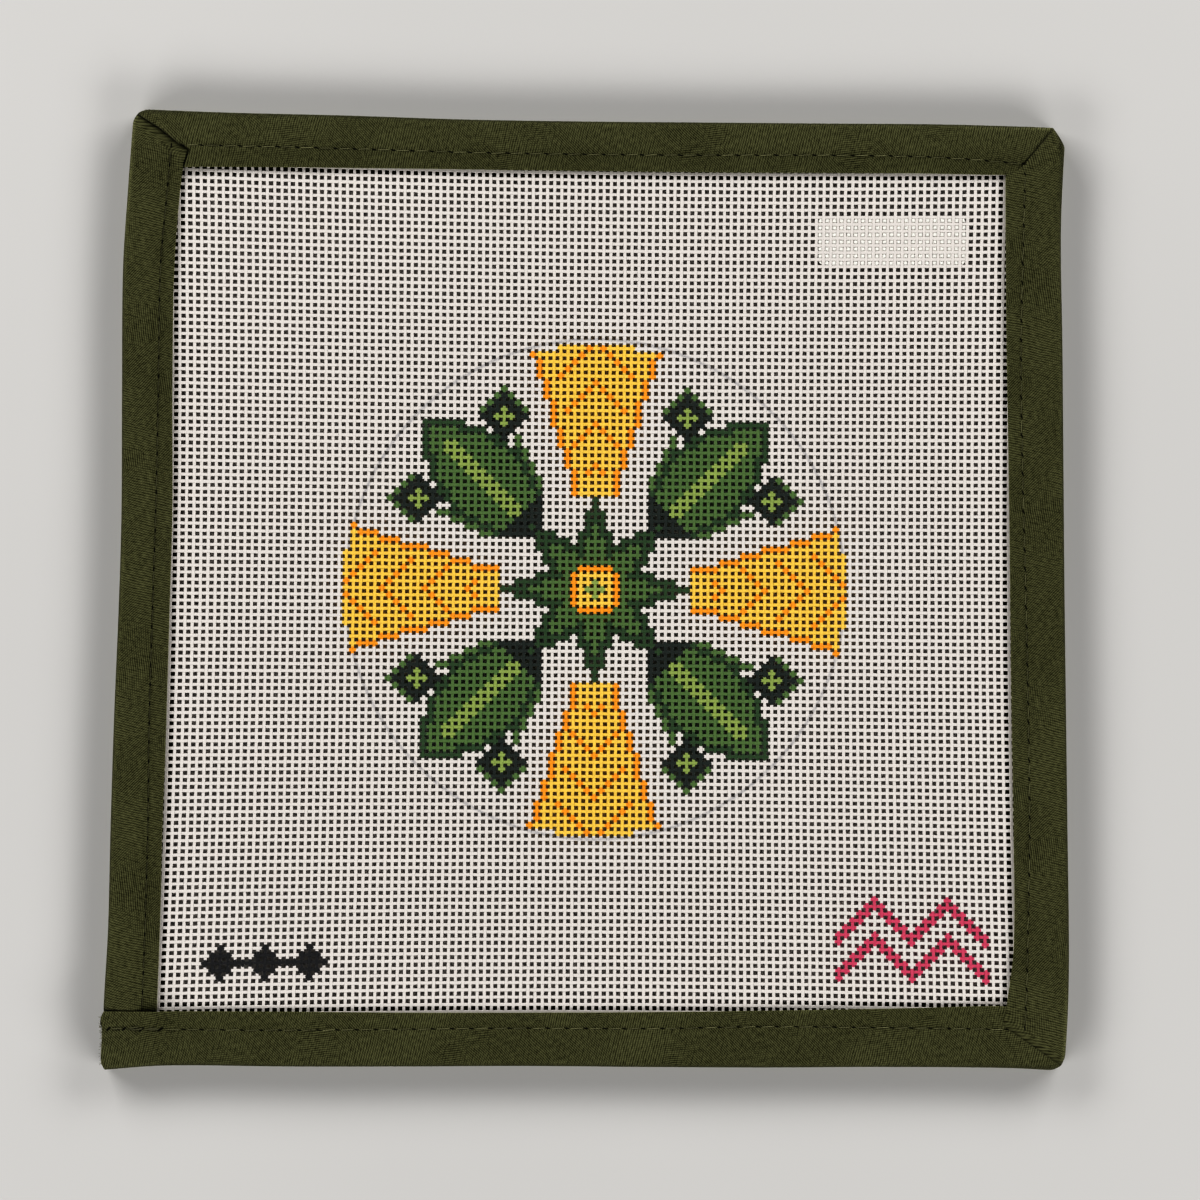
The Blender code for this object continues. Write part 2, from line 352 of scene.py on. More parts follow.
def join(tree, x, y, z=0.0):
    """A vector from its parts."""
    return add(tree, "ShaderNodeCombineXYZ", {"X": x, "Y": y, "Z": z}).outputs[0]


def keep_place(tree, geometry, name):
    """Stores how far along its curve each point lies, for the material to read."""
    place = add(tree, "GeometryNodeSplineParameter").outputs["Factor"]
    kept = {"Geometry": geometry, "Name": name, "Value": place}
    return add(tree, "GeometryNodeStoreNamedAttribute", kept, data_type="FLOAT", domain="POINT").outputs[0]


def named(tree, name, kind):
    """What a point of the mesh carries under this name."""
    return add(tree, "GeometryNodeInputNamedAttribute", {"Name": name}, data_type=kind).outputs["Attribute"]


def finish_tree(tree, geometry, material, result):
    """The last steps of a tree: what was instanced becomes real and gets its material."""
    real = add(tree, "GeometryNodeRealizeInstances", {"Geometry": geometry})
    dressed = add(tree, "GeometryNodeSetMaterial", {"Geometry": real.outputs[0], "Material": material})
    tree.links.new(dressed.outputs[0], result)


# Each guide line becomes a closed tube of flattened section, its flat sides facing up and down.
thread_tree, taken, given = geometry_tree(
    "threads_along_lines",
    {
        "Width": ("NodeSocketFloat", THREAD_WIDTH),
        "Flatness": ("NodeSocketFloat", THREAD_THICK / THREAD_WIDTH),
        "Squareness": ("NodeSocketFloat", THREAD_SQUARENESS),
        "Sides": ("NodeSocketInt", THREAD_SIDES),
        "Material": ("NodeSocketMaterial", None),
    },
)
lines = add(thread_tree, "GeometryNodeMeshToCurve", {"Mesh": taken["Geometry"]})
level = add(thread_tree, "GeometryNodeSetCurveNormal", {"Curve": lines.outputs[0]}, mode="Z_UP")
girth = named(thread_tree, "girth", "FLOAT")
thick = add(thread_tree, "GeometryNodeSetCurveRadius", {"Curve": level.outputs[0], "Radius": girth})
radius = calc(thread_tree, "MULTIPLY", taken["Width"], 0.5)
ring_shape = {"Resolution": taken["Sides"], "Radius": radius}
section = add(thread_tree, "GeometryNodeCurvePrimitiveCircle", ring_shape)
squeeze = join(thread_tree, 1.0, taken["Flatness"], 1.0)
flat = add(thread_tree, "GeometryNodeTransform", {"Geometry": section.outputs["Curve"], "Scale": squeeze})
corner = split(thread_tree, add(thread_tree, "GeometryNodeInputPosition").outputs[0])
wider = calc(thread_tree, "MULTIPLY", corner[0], taken["Squareness"])
lowest = calc(thread_tree, "MULTIPLY", radius, -1.0)
within = calc(thread_tree, "MAXIMUM", calc(thread_tree, "MINIMUM", wider, radius), lowest)
moved = join(thread_tree, within, corner[1])
square = add(thread_tree, "GeometryNodeSetPosition", {"Geometry": flat.outputs[0], "Position": moved})
profile = keep_place(thread_tree, square.outputs[0], "round")
tube = add(
    thread_tree,
    "GeometryNodeCurveToMesh",
    {"Curve": thick.outputs[0], "Profile Curve": profile, "Scale": girth, "Fill Caps": True},
)
faceted = add(thread_tree, "GeometryNodeSetShadeSmooth", {"Geometry": tube.outputs[0], "Shade Smooth": False})
finish_tree(thread_tree, faceted.outputs[0], taken["Material"], given)


# The painted design, charted by crossing. Each number is a paint, and every size is counted in threads.
BARE, YELLOW, ORANGE, GREEN, DARK_GREEN, NEAR_BLACK, LIGHT_GREEN, RED, BLACK = range(9)
PAINTS = (
    (0.672, 0.633, 0.596),
    (0.80, 0.55, 0.100),
    (0.82, 0.33, 0.016),
    (0.110, 0.190, 0.064),
    (0.040, 0.085, 0.034),
    (0.022, 0.032, 0.026),
    (0.290, 0.370, 0.110),
    (0.560, 0.080, 0.150),
    (0.016, 0.017, 0.018),
)
ROUND_CENTRE = (58, 60)  # column and row
ROUND_RADIUS = 35.5
DIAGONAL = math.sqrt(0.5)
FAN_FROM, FAN_HALF, FAN_FLARE = 14, 3.0, 0.30
LEAF_FROM, LEAF_TO, LEAF_HALF = 10, 34.5, 6.4
STEM_FROM, STEM_TO, STEM_SLANT = 15, 22, 0.52
BUD_PLACE = (25, 13)
STAR_REACH, INNER_STAR_REACH, STAR_POINT = 13.4, 9.6, 0.42
DIAMOND_COLUMNS, DIAMOND_ROW = (7, 13, 19), 113
ZIGZAG_COLUMNS, ZIGZAG_ROWS, ZIGZAG_HALF = (92, 112), (104, 109), 5


def chart(column, row):
    """The paint on each crossing: a round folk ornament, a row of diamonds and a zigzag border."""
    right, up = column - ROUND_CENTRE[0], ROUND_CENTRE[1] - row
    far, near = np.maximum(abs(right), abs(up)), np.minimum(abs(right), abs(up))
    out = np.hypot(right, up)
    along, across = (far + near) * DIAGONAL, (far - near) * DIAGONAL  # from the nearest diagonal
    paint = np.full(np.shape(right), BARE)

    def lay(where, colour):
        """Paints the crossings where this holds."""
        paint[where] = colour

    def star(reach):
        """The crossings inside an eight-pointed star."""
        return (near <= (reach - far) * STAR_POINT) | (across <= (reach - along) * STAR_POINT)

    # four fans that open towards the rim
    fan = FAN_HALF + (far - FAN_FROM) * FAN_FLARE
    inside = (far >= FAN_FROM) & (near <= fan) & (out <= ROUND_RADIUS)
    lay(inside, YELLOW)
    lay(inside & (near > fan - 1), ORANGE)
    lay(inside & (near <= fan - 2) & ((far + near) % 6 < 1), ORANGE)

    # four leaves on the diagonals
    leaf_part = np.clip((along - LEAF_FROM) / (LEAF_TO - LEAF_FROM), 0, 1)
    leaf = LEAF_HALF * np.sin(math.pi * leaf_part) ** 0.85
    inside = (along > LEAF_FROM) & (along < LEAF_TO) & (across <= leaf)
    lay(inside, GREEN)
    lay(inside & (across > leaf - 1.2), DARK_GREEN)
    lay(inside & (across < 0.9) & (along < 30), LIGHT_GREEN)
    lay(inside & (along < 15), NEAR_BLACK)

    # eight sprigs between them, each with a bud
    lay((far >= STEM_FROM) & (far <= STEM_TO) & (abs(near - STEM_SLANT * far) <= 0.5), GREEN)
    bud = abs(far - BUD_PLACE[0]) + abs(near - BUD_PLACE[1])
    lay(bud <= 3, NEAR_BLACK)
    lay(bud <= 1, LIGHT_GREEN)
    lay((bud == 4) & (far > BUD_PLACE[0]), GREEN)

    # the eight-pointed star and its heart
    lay(star(STAR_REACH), DARK_GREEN)
    lay(star(INNER_STAR_REACH), GREEN)
    for heart, colour in ((3.7, ORANGE), (2.9, YELLOW), (1.0, LIGHT_GREEN)):
        lay(out <= heart, colour)

    # the row of small diamonds at the lower left, joined by single threads
    for middle in DIAMOND_COLUMNS:
        lay(abs(column - middle) + abs(row - DIAMOND_ROW) <= 2, BLACK)
        lay((column == middle + 3) & (row == DIAMOND_ROW) & (middle != DIAMOND_COLUMNS[-1]), BLACK)

    # the double zigzag at the lower right
    start, end = ZIGZAG_COLUMNS
    zigzag = abs((column - start) % (2 * ZIGZAG_HALF) - ZIGZAG_HALF)
    inside = (column >= start) & (column <= end)
    for top in ZIGZAG_ROWS:
        lay(inside & ((row == top + zigzag) | (row == top + zigzag + 1)), RED)
    return paint


def chart_threads(piece, upright):
    """Gives the threads' faces the paints of their crossing and of the next one, and their two maps."""
    mesh = piece.data
    corner = np.empty(len(mesh.loops), np.int32)
    mesh.loops.foreach_get("vertex_index", corner)

    def at_corners(label):
        """What the points carry, for each corner of the faces."""
        values = np.empty(len(mesh.vertices), np.float32)
        mesh.attributes[label].data.foreach_get("value", values)
        return values[corner]

    starts = np.empty(len(mesh.polygons), np.int32)
    totals = np.empty(len(mesh.polygons), np.int32)
    mesh.polygons.foreach_get("loop_start", starts)
    mesh.polygons.foreach_get("loop_total", totals)
    face = np.repeat(np.arange(len(starts)), totals)
    crossing, turn = at_corners("crossing"), at_corners("round")
    thread = np.round(at_corners("thread")).astype(int)
    middle = (np.add.reduceat(crossing, starts) / totals)[face]
    nearest = np.round(middle).astype(int)
    on_crossing = np.abs(middle - nearest) < CROSSING_REACH
    here = np.where(on_crossing, nearest, np.floor(middle).astype(int))
    after = np.where(on_crossing, nearest, here + 1)
    for label, number in (("paint_here", here), ("paint_next", after)):
        paint = chart(thread, number) if upright else chart(number, thread)
        store(mesh, label, paint, domain="CORNER")
    # the last side of the section goes on to 1, where the first one starts at 0
    highest = np.maximum.reduceat(turn, starts)[face]
    turn = np.where((highest - turn > 0.5) & (totals[face] == 4), turn + 1, turn)
    store_map(mesh, "weave", crossing, turn)
    # a second map, laid out in strips without overlaps, for anything that bakes the colours
    low, first = crossing.min(), thread.min()
    strip = thread - first + turn * STRIP_SHARE / (1 + 1 / THREAD_SIDES)
    store_map(mesh, "OFBake", (crossing - low) / (crossing.max() - low), strip / (thread.max() - first + 1))


def wave(tree, turns, kind):
    """A wave from 0 to 1 that comes back at every whole turn."""
    angle = calc(tree, "MULTIPLY", turns, 2 * math.pi)
    return calc(tree, "MULTIPLY_ADD", calc(tree, kind, angle), 0.5, 0.5)


# Twisted fibres, as on the canvas's threads and the sewing thread: slanting plies with fine fibres in them.
FIBRES_PER_PLY, FIBRE_BREAKS = 6.0, 1.5  # across a ply, and along the thread for each unit of its map
fibre_group, taken, given = shader_group(
    "twisted_fibres",
    {"Along": 0.0, "Round": 0.0, "Twists": 2.0, "Plies": 3.0},
    ("Plies", "Fibres"),
)
turned = calc(fibre_group, "MULTIPLY", taken["Round"], taken["Plies"])
slant = calc(fibre_group, "MULTIPLY_ADD", taken["Along"], taken["Twists"], turned)
fibre_group.links.new(wave(fibre_group, slant, "SINE"), given["Plies"])
finely = calc(fibre_group, "MULTIPLY", slant, FIBRES_PER_PLY)
broken = calc(fibre_group, "MULTIPLY", taken["Along"], FIBRE_BREAKS)
fibre_group.links.new(noise(fibre_group, join(fibre_group, finely, broken), 1.0, 2.0)["Fac"], given["Fibres"])


def mix(tree, share, first, second, kind="FLOAT"):
    """Two values mixed, or two colours where kind is RGBA."""
    made = add(tree, "ShaderNodeMix", {"Factor": share, "A": first, "B": second}, data_type=kind)
    return made.outputs[2 if kind == "RGBA" else 0]


def span(tree, value, low, high, to_low=0.0, to_high=1.0):
    """A value's way from low to high as a share, or as its way between two other limits."""
    limits = {"Value": value, "From Min": low, "From Max": high, "To Min": to_low, "To Max": to_high}
    return add(tree, "ShaderNodeMapRange", limits).outputs[0]


def carried(tree, name):
    """A number that the mesh carries."""
    return add(tree, "ShaderNodeAttribute", attribute_name=name).outputs["Fac"]


def read_map(tree, name):
    """A place on one of the mesh's maps."""
    return add(tree, "ShaderNodeUVMap", uv_map=name).outputs[0]


def finish_surface(tree, shader, colour, height, strength, distance):
    """Links a surface's colour, and its relief by a bump of this strength and height."""
    tree.links.new(colour, shader.inputs["Base Color"])
    bump = add(tree, "ShaderNodeBump", {"Strength": strength, "Distance": distance, "Height": height})
    tree.links.new(bump.outputs[0], shader.inputs["Normal"])


# The canvas's material. Where paint meets another paint, the edge lies half-way between two crossings and
# wanders a little, as a brush leaves it. A pencil line marks the round on the bare threads.
PENCIL_RADIUS, PENCIL_GREY = 0.0500, (0.22, 0.22, 0.24, 1)
PENCIL_WIDTH, PENCIL_CORE, PENCIL_SHARE = 0.00045, 0.3, 0.9  # the line is even up to a share of its width
RAGGED = 0.17  # a painted edge wanders by this much each way, in pitches
COTTON_ROUGH, PAINT_ROUGH = 0.84, 0.62
canvas_cloth, tree, shader = new_material(
    "painted_cotton_canvas", (*PAINTS[BARE], 1), 0.82, Sheen_Weight=0.15
)
along, around, _ = split(tree, read_map(tree, "weave"))
cloudy = clouds(tree, patch=0.035, speck=0.00045)
fibres = use_group(tree, fibre_group, {"Along": along, "Round": around, "Twists": 2.0, "Plies": 2.0})
ragged = weighted(tree, -RAGGED, (cloudy["Specks"], 2 * RAGGED))
next_one = calc(tree, "GREATER_THAN", calc(tree, "FRACT", calc(tree, "ADD", along, ragged)), 0.5)
here, after = carried(tree, "paint_here"), carried(tree, "paint_next")
number = calc(tree, "MULTIPLY_ADD", calc(tree, "SUBTRACT", after, here), next_one, here)
stop_share = calc(tree, "DIVIDE", calc(tree, "ADD", number, 0.5), len(PAINTS))
ramp = add(tree, "ShaderNodeValToRGB", {"Fac": stop_share})
ramp.color_ramp.interpolation = "CONSTANT"
for index, colour in enumerate(PAINTS):
    stop = ramp.color_ramp.elements[index] if index < 2 else ramp.color_ramp.elements.new(index / len(PAINTS))
    stop.position = index / len(PAINTS)
    stop.color = (*colour, 1)
is_painted = calc(tree, "GREATER_THAN", number, 0.5)

# bare cotton is a little uneven in whiteness, and paint in thickness
bare_shade = weighted(tree, 0.89, (fibres["Fibres"], 0.16), (cloudy["Patches"], 0.05))
paint_shade = weighted(tree, 0.55, (fibres["Fibres"], 0.40), (cloudy["Specks"], 0.50))
colour = scaled(tree, ramp.outputs["Color"], mix(tree, is_painted, bare_shade, paint_shade))

# the pencil line
place = split(tree, add(tree, "ShaderNodeTexCoord").outputs["Object"])
centre = crossing_place(*ROUND_CENTRE)
right, up = (calc(tree, "SUBTRACT", place[axis], centre[axis]) for axis in (0, 1))
from_centre = calc(tree, "SQRT", calc(tree, "MULTIPLY_ADD", up, up, calc(tree, "MULTIPLY", right, right)))
off_line = calc(tree, "ABSOLUTE", calc(tree, "SUBTRACT", from_centre, PENCIL_RADIUS))
mark = span(tree, off_line, PENCIL_WIDTH, PENCIL_WIDTH * PENCIL_CORE)
is_bare = calc(tree, "SUBTRACT", 1.0, is_painted)
for share in (is_bare, calc(tree, "MULTIPLY", cloudy["Specks"], PENCIL_SHARE)):
    mark = calc(tree, "MULTIPLY", mark, share)
pencilled = mix(tree, mark, colour, PENCIL_GREY, "RGBA")
tree.links.new(mix(tree, is_painted, COTTON_ROUGH, PAINT_ROUGH), shader.inputs["Roughness"])
relief = weighted(tree, 0.0, (fibres["Fibres"], 0.5), (fibres["Plies"], 0.6))
finish_surface(tree, shader, pencilled, relief, 0.5, 0.00004)

# Columns: name, whether the threads run up the canvas, their first and last numbers
THREAD_SETS = (
    ("warp_threads_left", True, -HIDDEN, COLUMNS // 2),
    ("warp_threads_right", True, COLUMNS // 2 + 1, COLUMNS + HIDDEN - 1),
    ("weft_threads_top", False, -HIDDEN, ROWS // 2 - 1),
    ("weft_threads_bottom", False, ROWS // 2, ROWS + HIDDEN - 1),
)
for name, upright, first, last in THREAD_SETS:
    threads = grow(thread_guides(name, upright, first, last), thread_tree, {"Material": canvas_cloth})
    chart_threads(threads, upright)
    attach(threads, "root")
    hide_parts("canvas")


# ---------------------------------------------------------------------------------------------------
# The binding: one length of dark olive cotton twill tape, its long edges turned under, folded over the
# canvas's raw edge. It starts at the bottom left, goes up and round three mitred corners, and its raw cut
# end juts out at the bottom left. Lockstitch goes through all the layers, 3 mm or so from the inner edge.
# ---------------------------------------------------------------------------------------------------
TAPE_THICK = 0.00050  # two layers of twill: the face and the hem turned under it
BOUND_THICK = 0.0032
BACK_LEG_EXTRA = 0.0012  # the back leg is folded a little wider than the front one
BACK_LEG_AT_CUT, BACK_LEG_TURN = -0.0006, 0.008  # but not at the cut end, over this length
TAPE_GAP = 0.0003
TUCK = 0.0008  # how far the tape's start reaches under its last side's hem
STITCH = 0.00384  # needle hole to needle hole
# Uneven needle holes at the start of the third side and at the end of the last one, by side
FIRST_HOLES = {2: (0.0831, 0.0796, 0.0766)}
LAST_HOLES = {3: (-0.0723, -0.0766, -0.0800, -0.0848, -0.0885, -0.0920, -0.0950)}
STEPS_PER_STITCH = 6

# The panel's uneven outline. Columns: place along the side, tape's outer fold, tape's inner edge, stitching.
# Left and right sides are placed by y and give x. Top and bottom sides are placed by x and give y.
LEFT = (
    (-0.0958, -0.0965, -0.0860, -0.0889),
    (-0.0838, -0.0963, -0.0856, -0.0885),
    (-0.0678, -0.0954, -0.0850, -0.0879),
    (-0.0478, -0.0949, -0.0845, -0.0873),
    (-0.0258, -0.0942, -0.0837, -0.0870),
    (-0.0018, -0.0932, -0.0830, -0.0863),
    (0.0162, -0.0927, -0.0825, -0.0857),
    (0.0402, -0.0926, -0.0825, -0.0852),
    (0.0642, -0.0924, -0.0821, -0.0848),
    (0.0802, -0.0914, -0.0809, -0.0834),
    (0.0962, -0.0902, -0.0787, -0.0818),
)
TOP = (
    (-0.0898, 0.0962, 0.0846, 0.0889),
    (-0.0718, 0.0955, 0.0846, 0.0887),
    (-0.0478, 0.0949, 0.0844, 0.0881),
    (-0.0238, 0.0941, 0.0841, 0.0874),
    (0.0002, 0.0937, 0.0838, 0.0870),
    (0.0242, 0.0935, 0.0835, 0.0868),
    (0.0482, 0.0933, 0.0834, 0.0868),
    (0.0722, 0.0931, 0.0832, 0.0863),
    (0.0962, 0.0924, 0.0825, 0.0843),
)
RIGHT = (
    (-0.0958, 0.0959, 0.0839, 0.0870),
    (-0.0838, 0.0966, 0.0843, 0.0880),
    (-0.0718, 0.0968, 0.0857, 0.0884),
    (-0.0478, 0.0965, 0.0857, 0.0888),
    (-0.0238, 0.0962, 0.0853, 0.0885),
    (0.0002, 0.0959, 0.0850, 0.0880),
    (0.0242, 0.0957, 0.0847, 0.0874),
    (0.0482, 0.0955, 0.0843, 0.0871),
    (0.0722, 0.0952, 0.0841, 0.0876),
    (0.0922, 0.0961, 0.0840, 0.0881),
)
BOTTOM = (
    (-0.0968, -0.0960, -0.0841, -0.0875),
    (-0.0838, -0.0951, -0.0842, -0.0877),
    (-0.0598, -0.0953, -0.0843, -0.0879),
    (-0.0358, -0.0953, -0.0845, -0.0877),
    (-0.0118, -0.0952, -0.0845, -0.0875),
    (0.0122, -0.0954, -0.0844, -0.0876),
    (0.0362, -0.0955, -0.0841, -0.0872),
    (0.0602, -0.0954, -0.0837, -0.0874),
    (0.0842, -0.0956, -0.0831, -0.0877),
    (0.0962, -0.0962, -0.0830, -0.0879),
)
OUTER, INNER, STITCHING = 1, 2, 3
# Columns: side's table, whether it stands upright, which way the tape runs along it, how far the needle
# marks lie askew to the seam, and the painted light and shade on the thread between them, as a factor
SIDES = (
    (LEFT, True, 1, 0.0, 0.55),
    (TOP, False, 1, -0.20, 1.15),
    (RIGHT, True, -1, 0.32, 0.95),
    (BOTTOM, False, -1, -0.15, 1.1),
)

# The cut end's uneven outline. Columns: share of the tape's width from its outer fold, x.
CUT_END = (
    (0.00, -0.0960),
    (0.08, -0.0963),
    (0.14, -0.0967),
    (0.50, -0.0964),
    (0.73, -0.0963),
    (0.79, -0.0967),
    (0.86, -0.0968),
    (0.95, -0.0963),
    (1.00, -0.0961),
)

# The three mitres' lines on the front. Columns: share of the tape's width from its outer fold, x, y.
MITRES = (
    (
        (0, -0.0892, 0.0954),
        (0.14, -0.0891, 0.0948),
        (0.40, -0.0849, 0.0922),
        (0.66, -0.0810, 0.0890),
        (0.76, -0.0790, 0.0882),
        (1, -0.0804, 0.0845),
    ),
    (
        (0, 0.0936, 0.0924),
        (0.08, 0.0931, 0.0916),
        (0.75, 0.0878, 0.0851),
        (0.86, 0.0862, 0.0836),
        (1, 0.0841, 0.0830),
    ),
    (
        (0, 0.0952, -0.0951),
        (0.13, 0.0937, -0.0940),
        (0.66, 0.0848, -0.0879),
        (0.76, 0.0833, -0.0867),
        (0.84, 0.0839, -0.0858),
        (1, 0.0843, -0.0832),
    ),
)
MITRE_CORNERS = ((LEFT, TOP), (RIGHT, TOP), (RIGHT, BOTTOM))
MITRE_WIDTH, MITRE_SEAM = (0.0111, 0.0107, 0.0124), (0.0034, 0.0027, 0.0037)
# How dark the painted shade in each mitre's crease is. Columns: from the outer corner to the seam, from there
# to the inner corner.
MITRE_PAINTED_SHADE = ((0.9, 1.0), (0.65, 0.0), (0.38, 0.0))
MITRE_LIFT = (0.00030, 0.00020, 0.00012)  # each side overlies the one before it by this much
MITRE_STEP, MITRE_FADE = 0.00028, 0.010  # it rises over the first length and is gone after the second
MITRE_GROOVE = (0.00012, 0.00010, 0.00004)
GROOVE_REACHES = (0.0004, 0.0005)  # on the side after the mitre, and on the one before it
MITRE_INSIDE = (1.0, 0.15, 0.4)  # the share of the lift and groove that stays inside the seam
MITRE_BLEND = 0.006
BACK_EASE, BEND_EASE = 0.30, 0.35  # shares of the tape's width over which a mitre's line changes
# the painted shade along a mitre's crease falls away over this width
CREASE_WIDTH = 0.00025
CORNER_STEPS = 6  # enough to find where two sides' rows cross
# How the sides bend to reach each mitre, at its outer and its inner end. Columns: length, power of the bend.
MITRE_BENDS = (
    ((0.0021, 2.0), (0.0060, 2.0)),
    ((0.0039, 1.25), (0.0050, 2.0)),
    ((0.0026, 2.0), (0.0050, 2.0)),
)

# The tape's section, and how the sewing shapes it
FOLD_REACH = 0.0013  # the round fold starts this far inside the panel's edge
HEM_RADIUS = TAPE_THICK / 2
HEM_DROP, HEM_DROP_WIDTH = 0.00090, 0.0046  # the front leg sinks on to the canvas at its hem
SEAM_ROWS = 0.00095  # rows lie close together this far to each side of the stitching
SEAM_DIP, SEAM_DIP_WIDTH = 0.00008, 0.00040
SEAM_PULL, SEAM_PULL_WIDTH = 0.00004, 0.0015
NEEDLE_DIP, NEEDLE_REACH = 0.00013, 0.00050
INSIDE_SEAM = 0.4  # a mitre looks as it does inside the seam up to this share of the way to the seam
PUFF = 0.00014  # half-way between the fold and the hem the leg stands up by this much
BACK_SEAM_DIP = 0.00012
OVERLAP_FROM = -0.0835  # past this x the last side lies over the tape's start
OVERLAP_LIFT, OVERLAP_EASE, OVERLAP_FROM_FOLD = 0.00025, 0.0020, 0.006
START_SINK, START_SINK_LENGTH = 0.00042, 0.0010
START_PAINTED_SHADE = 0.00015  # the start's painted shade reaches this far out of its tuck under the last side's hem
TACKS_FROM, TACKS_OVER = -0.0815, 0.0015  # the back-tacks begin past this x, over this length
TACK_SLANT, TACK_SPREAD = 0.32, 0.52  # their marks lie askew and are wider
SEWN_EASE = 0.3  # the sewing's pull fades over this part of a stitch past the first and last holes
CLOSE_STATIONS = np.array((0.00012, 0.00030))  # more rings of the mesh this near to both ends of a side
BAKE_LENGTH, BAKE_MARGIN = 0.2, 0.02  # of each side's strip on the map that is baked
NO_BEND = (1e-6, 1.0)  # where the tape starts and ends there is no mitre to bend to
# The cloth is a little wavy from handling. Columns: lengths along and across, change from side to side.
HANDLING = ((0.0067, 0.0030, 1), (0.0113, -0.0047, 2))
WAVINESS = 0.000022


def lerp(a, b, share):
    """The value at this share of the way from a to b."""
    return a + (b - a) * share


def bell(distance, width):
    """1 in the middle, falling away smoothly over this width."""
    return np.exp(-((distance / width) ** 2))


def read(table, place, column):
    """A column of a side's table at places along it, on a smooth curve through the rows."""
    rows = np.array(table)
    place = np.asarray(place, float)
    last = len(rows) - 1
    i = np.clip(np.searchsorted(rows[:, 0], place) - 1, 0, last - 1)
    before, after = np.maximum(np.arange(last + 1) - 1, 0), np.minimum(np.arange(last + 1) + 1, last)
    slopes = (rows[after, column] - rows[before, column]) / (rows[after, 0] - rows[before, 0])
    step = rows[i + 1, 0] - rows[i, 0]
    t = (place - rows[i, 0]) / step
    return (
        (2 * t**3 - 3 * t**2 + 1) * rows[i, column]
        + (t**3 - 2 * t**2 + t) * slopes[i] * step
        + (3 * t**2 - 2 * t**3) * rows[i + 1, column]
        + (t**3 - t**2) * slopes[i + 1] * step
    )


def across(table, place, share):
    """How far out a side lies at places along it: share 0 is the outer fold and 1 the inner edge."""
    return lerp(read(table, place, OUTER), read(table, place, INNER), share)


def mitre_point(number, share, back):
    """Where the rows at these shares of the tape's width reach a mitre, and how they bend to it.

    back is how far a row belongs to the back leg, which meets in a plain corner.
    """
    line = np.array(MITRES[number])
    upright, level = MITRE_CORNERS[number]
    plain_x = np.full_like(share, upright[0][OUTER])
    plain_y = np.full_like(share, level[-1][OUTER])
    # closing in on the place where the same rows of both sides cross
    for _ in range(CORNER_STEPS):
        plain_x = across(upright, plain_y, share)
        plain_y = across(level, plain_x, share)
    inward = smooth(share / BACK_EASE)
    x = lerp(np.interp(share, line[:, 0], line[:, 1]), lerp(line[0, 1], plain_x, inward), back)
    y = lerp(np.interp(share, line[:, 0], line[:, 2]), lerp(line[0, 2], plain_y, inward), back)
    outer, inner = MITRE_BENDS[number]
    length, power = (lerp(outer[k], inner[k], smooth(share / BEND_EASE)) for k in (0, 1))
    return x, y, length, power


# The rows round the tape's section, in order from the front hem: what each is placed by, and where. Turns
# are in degrees, seams count from the stitching in SEAM_ROWS, and the rest are shares of the way.
SECTION_PARTS = (
    ("front_hem", (0, 32, 62)),
    ("hem_to_seam", (0.0, 0.45)),
    ("front_seam", (-1, -0.63, -0.37, -0.18, 0, 0.18, 0.37, 0.63, 1)),
    ("seam_to_fold", (0.2, 0.4, 0.6, 0.8, 1.0)),
    ("fold", (70, 50, 30, 12, -6, -24, -45, -68)),
    ("fold_to_back_seam", (0.0, 0.35, 0.7)),
    ("back_seam", (0.8, 0.35, 0, -0.35, -0.8)),
    ("back_seam_to_hem", (0.5, 1.0)),
    ("back_hem", (-58, -20, 20, 58)),
    ("back_inside", (0.0, 0.5, 1.0)),
    ("inner_fold", (-50, -15, 15, 50)),
    ("front_inside", (0.0, 0.3, 0.6, 1.0)),
    ("front_hem", (-58, -28)),
)
UNITS = {kind: math.pi / 180 for kind in ("front_hem", "fold", "back_hem", "inner_fold")}
UNITS |= {kind: SEAM_ROWS for kind in ("front_seam", "back_seam")}
SECTION = [(kind, value * UNITS.get(kind, 1)) for kind, values in SECTION_PARTS for value in values]
FRONT_KINDS = ("hem_to_seam", "front_seam", "seam_to_fold")
BACK_KINDS = ("fold_to_back_seam", "back_seam", "back_seam_to_hem")


def row_inset(kind, value, width, seam, extra):
    """How far a row lies from the front leg's inner edge, and how far it belongs to the back leg."""
    to_fold = width - FOLD_REACH
    to_hem = HEM_RADIUS - extra
    places = {
        "front_hem": (HEM_RADIUS * (1 - math.cos(value)), 0),
        "hem_to_seam": (lerp(HEM_RADIUS, seam - SEAM_ROWS, value), 0),
        "front_seam": (seam + value, 0),
        "seam_to_fold": (lerp(seam + SEAM_ROWS, to_fold, value), 0),
        "fold": (to_fold + FOLD_REACH * math.cos(value), 0.5 - 0.5 * math.sin(value)),
        "fold_to_back_seam": (lerp(to_fold, seam + SEAM_ROWS, value), 1),
        "back_seam": (seam + value, 1),
        "back_seam_to_hem": (lerp(seam - SEAM_ROWS, to_hem, value), 1),
        "back_hem": (HEM_RADIUS * (1 - math.cos(value)) - extra, 1),
        "back_inside": (lerp(to_hem, to_fold, value), 1),
        "inner_fold": (to_fold + (FOLD_REACH - TAPE_THICK) * math.cos(value), 0.5 - 0.5 * math.sin(value)),
        "front_inside": (lerp(to_fold, HEM_RADIUS, value), 0),
    }
    inset, back = places[kind]
    return inset + np.zeros_like(width), back


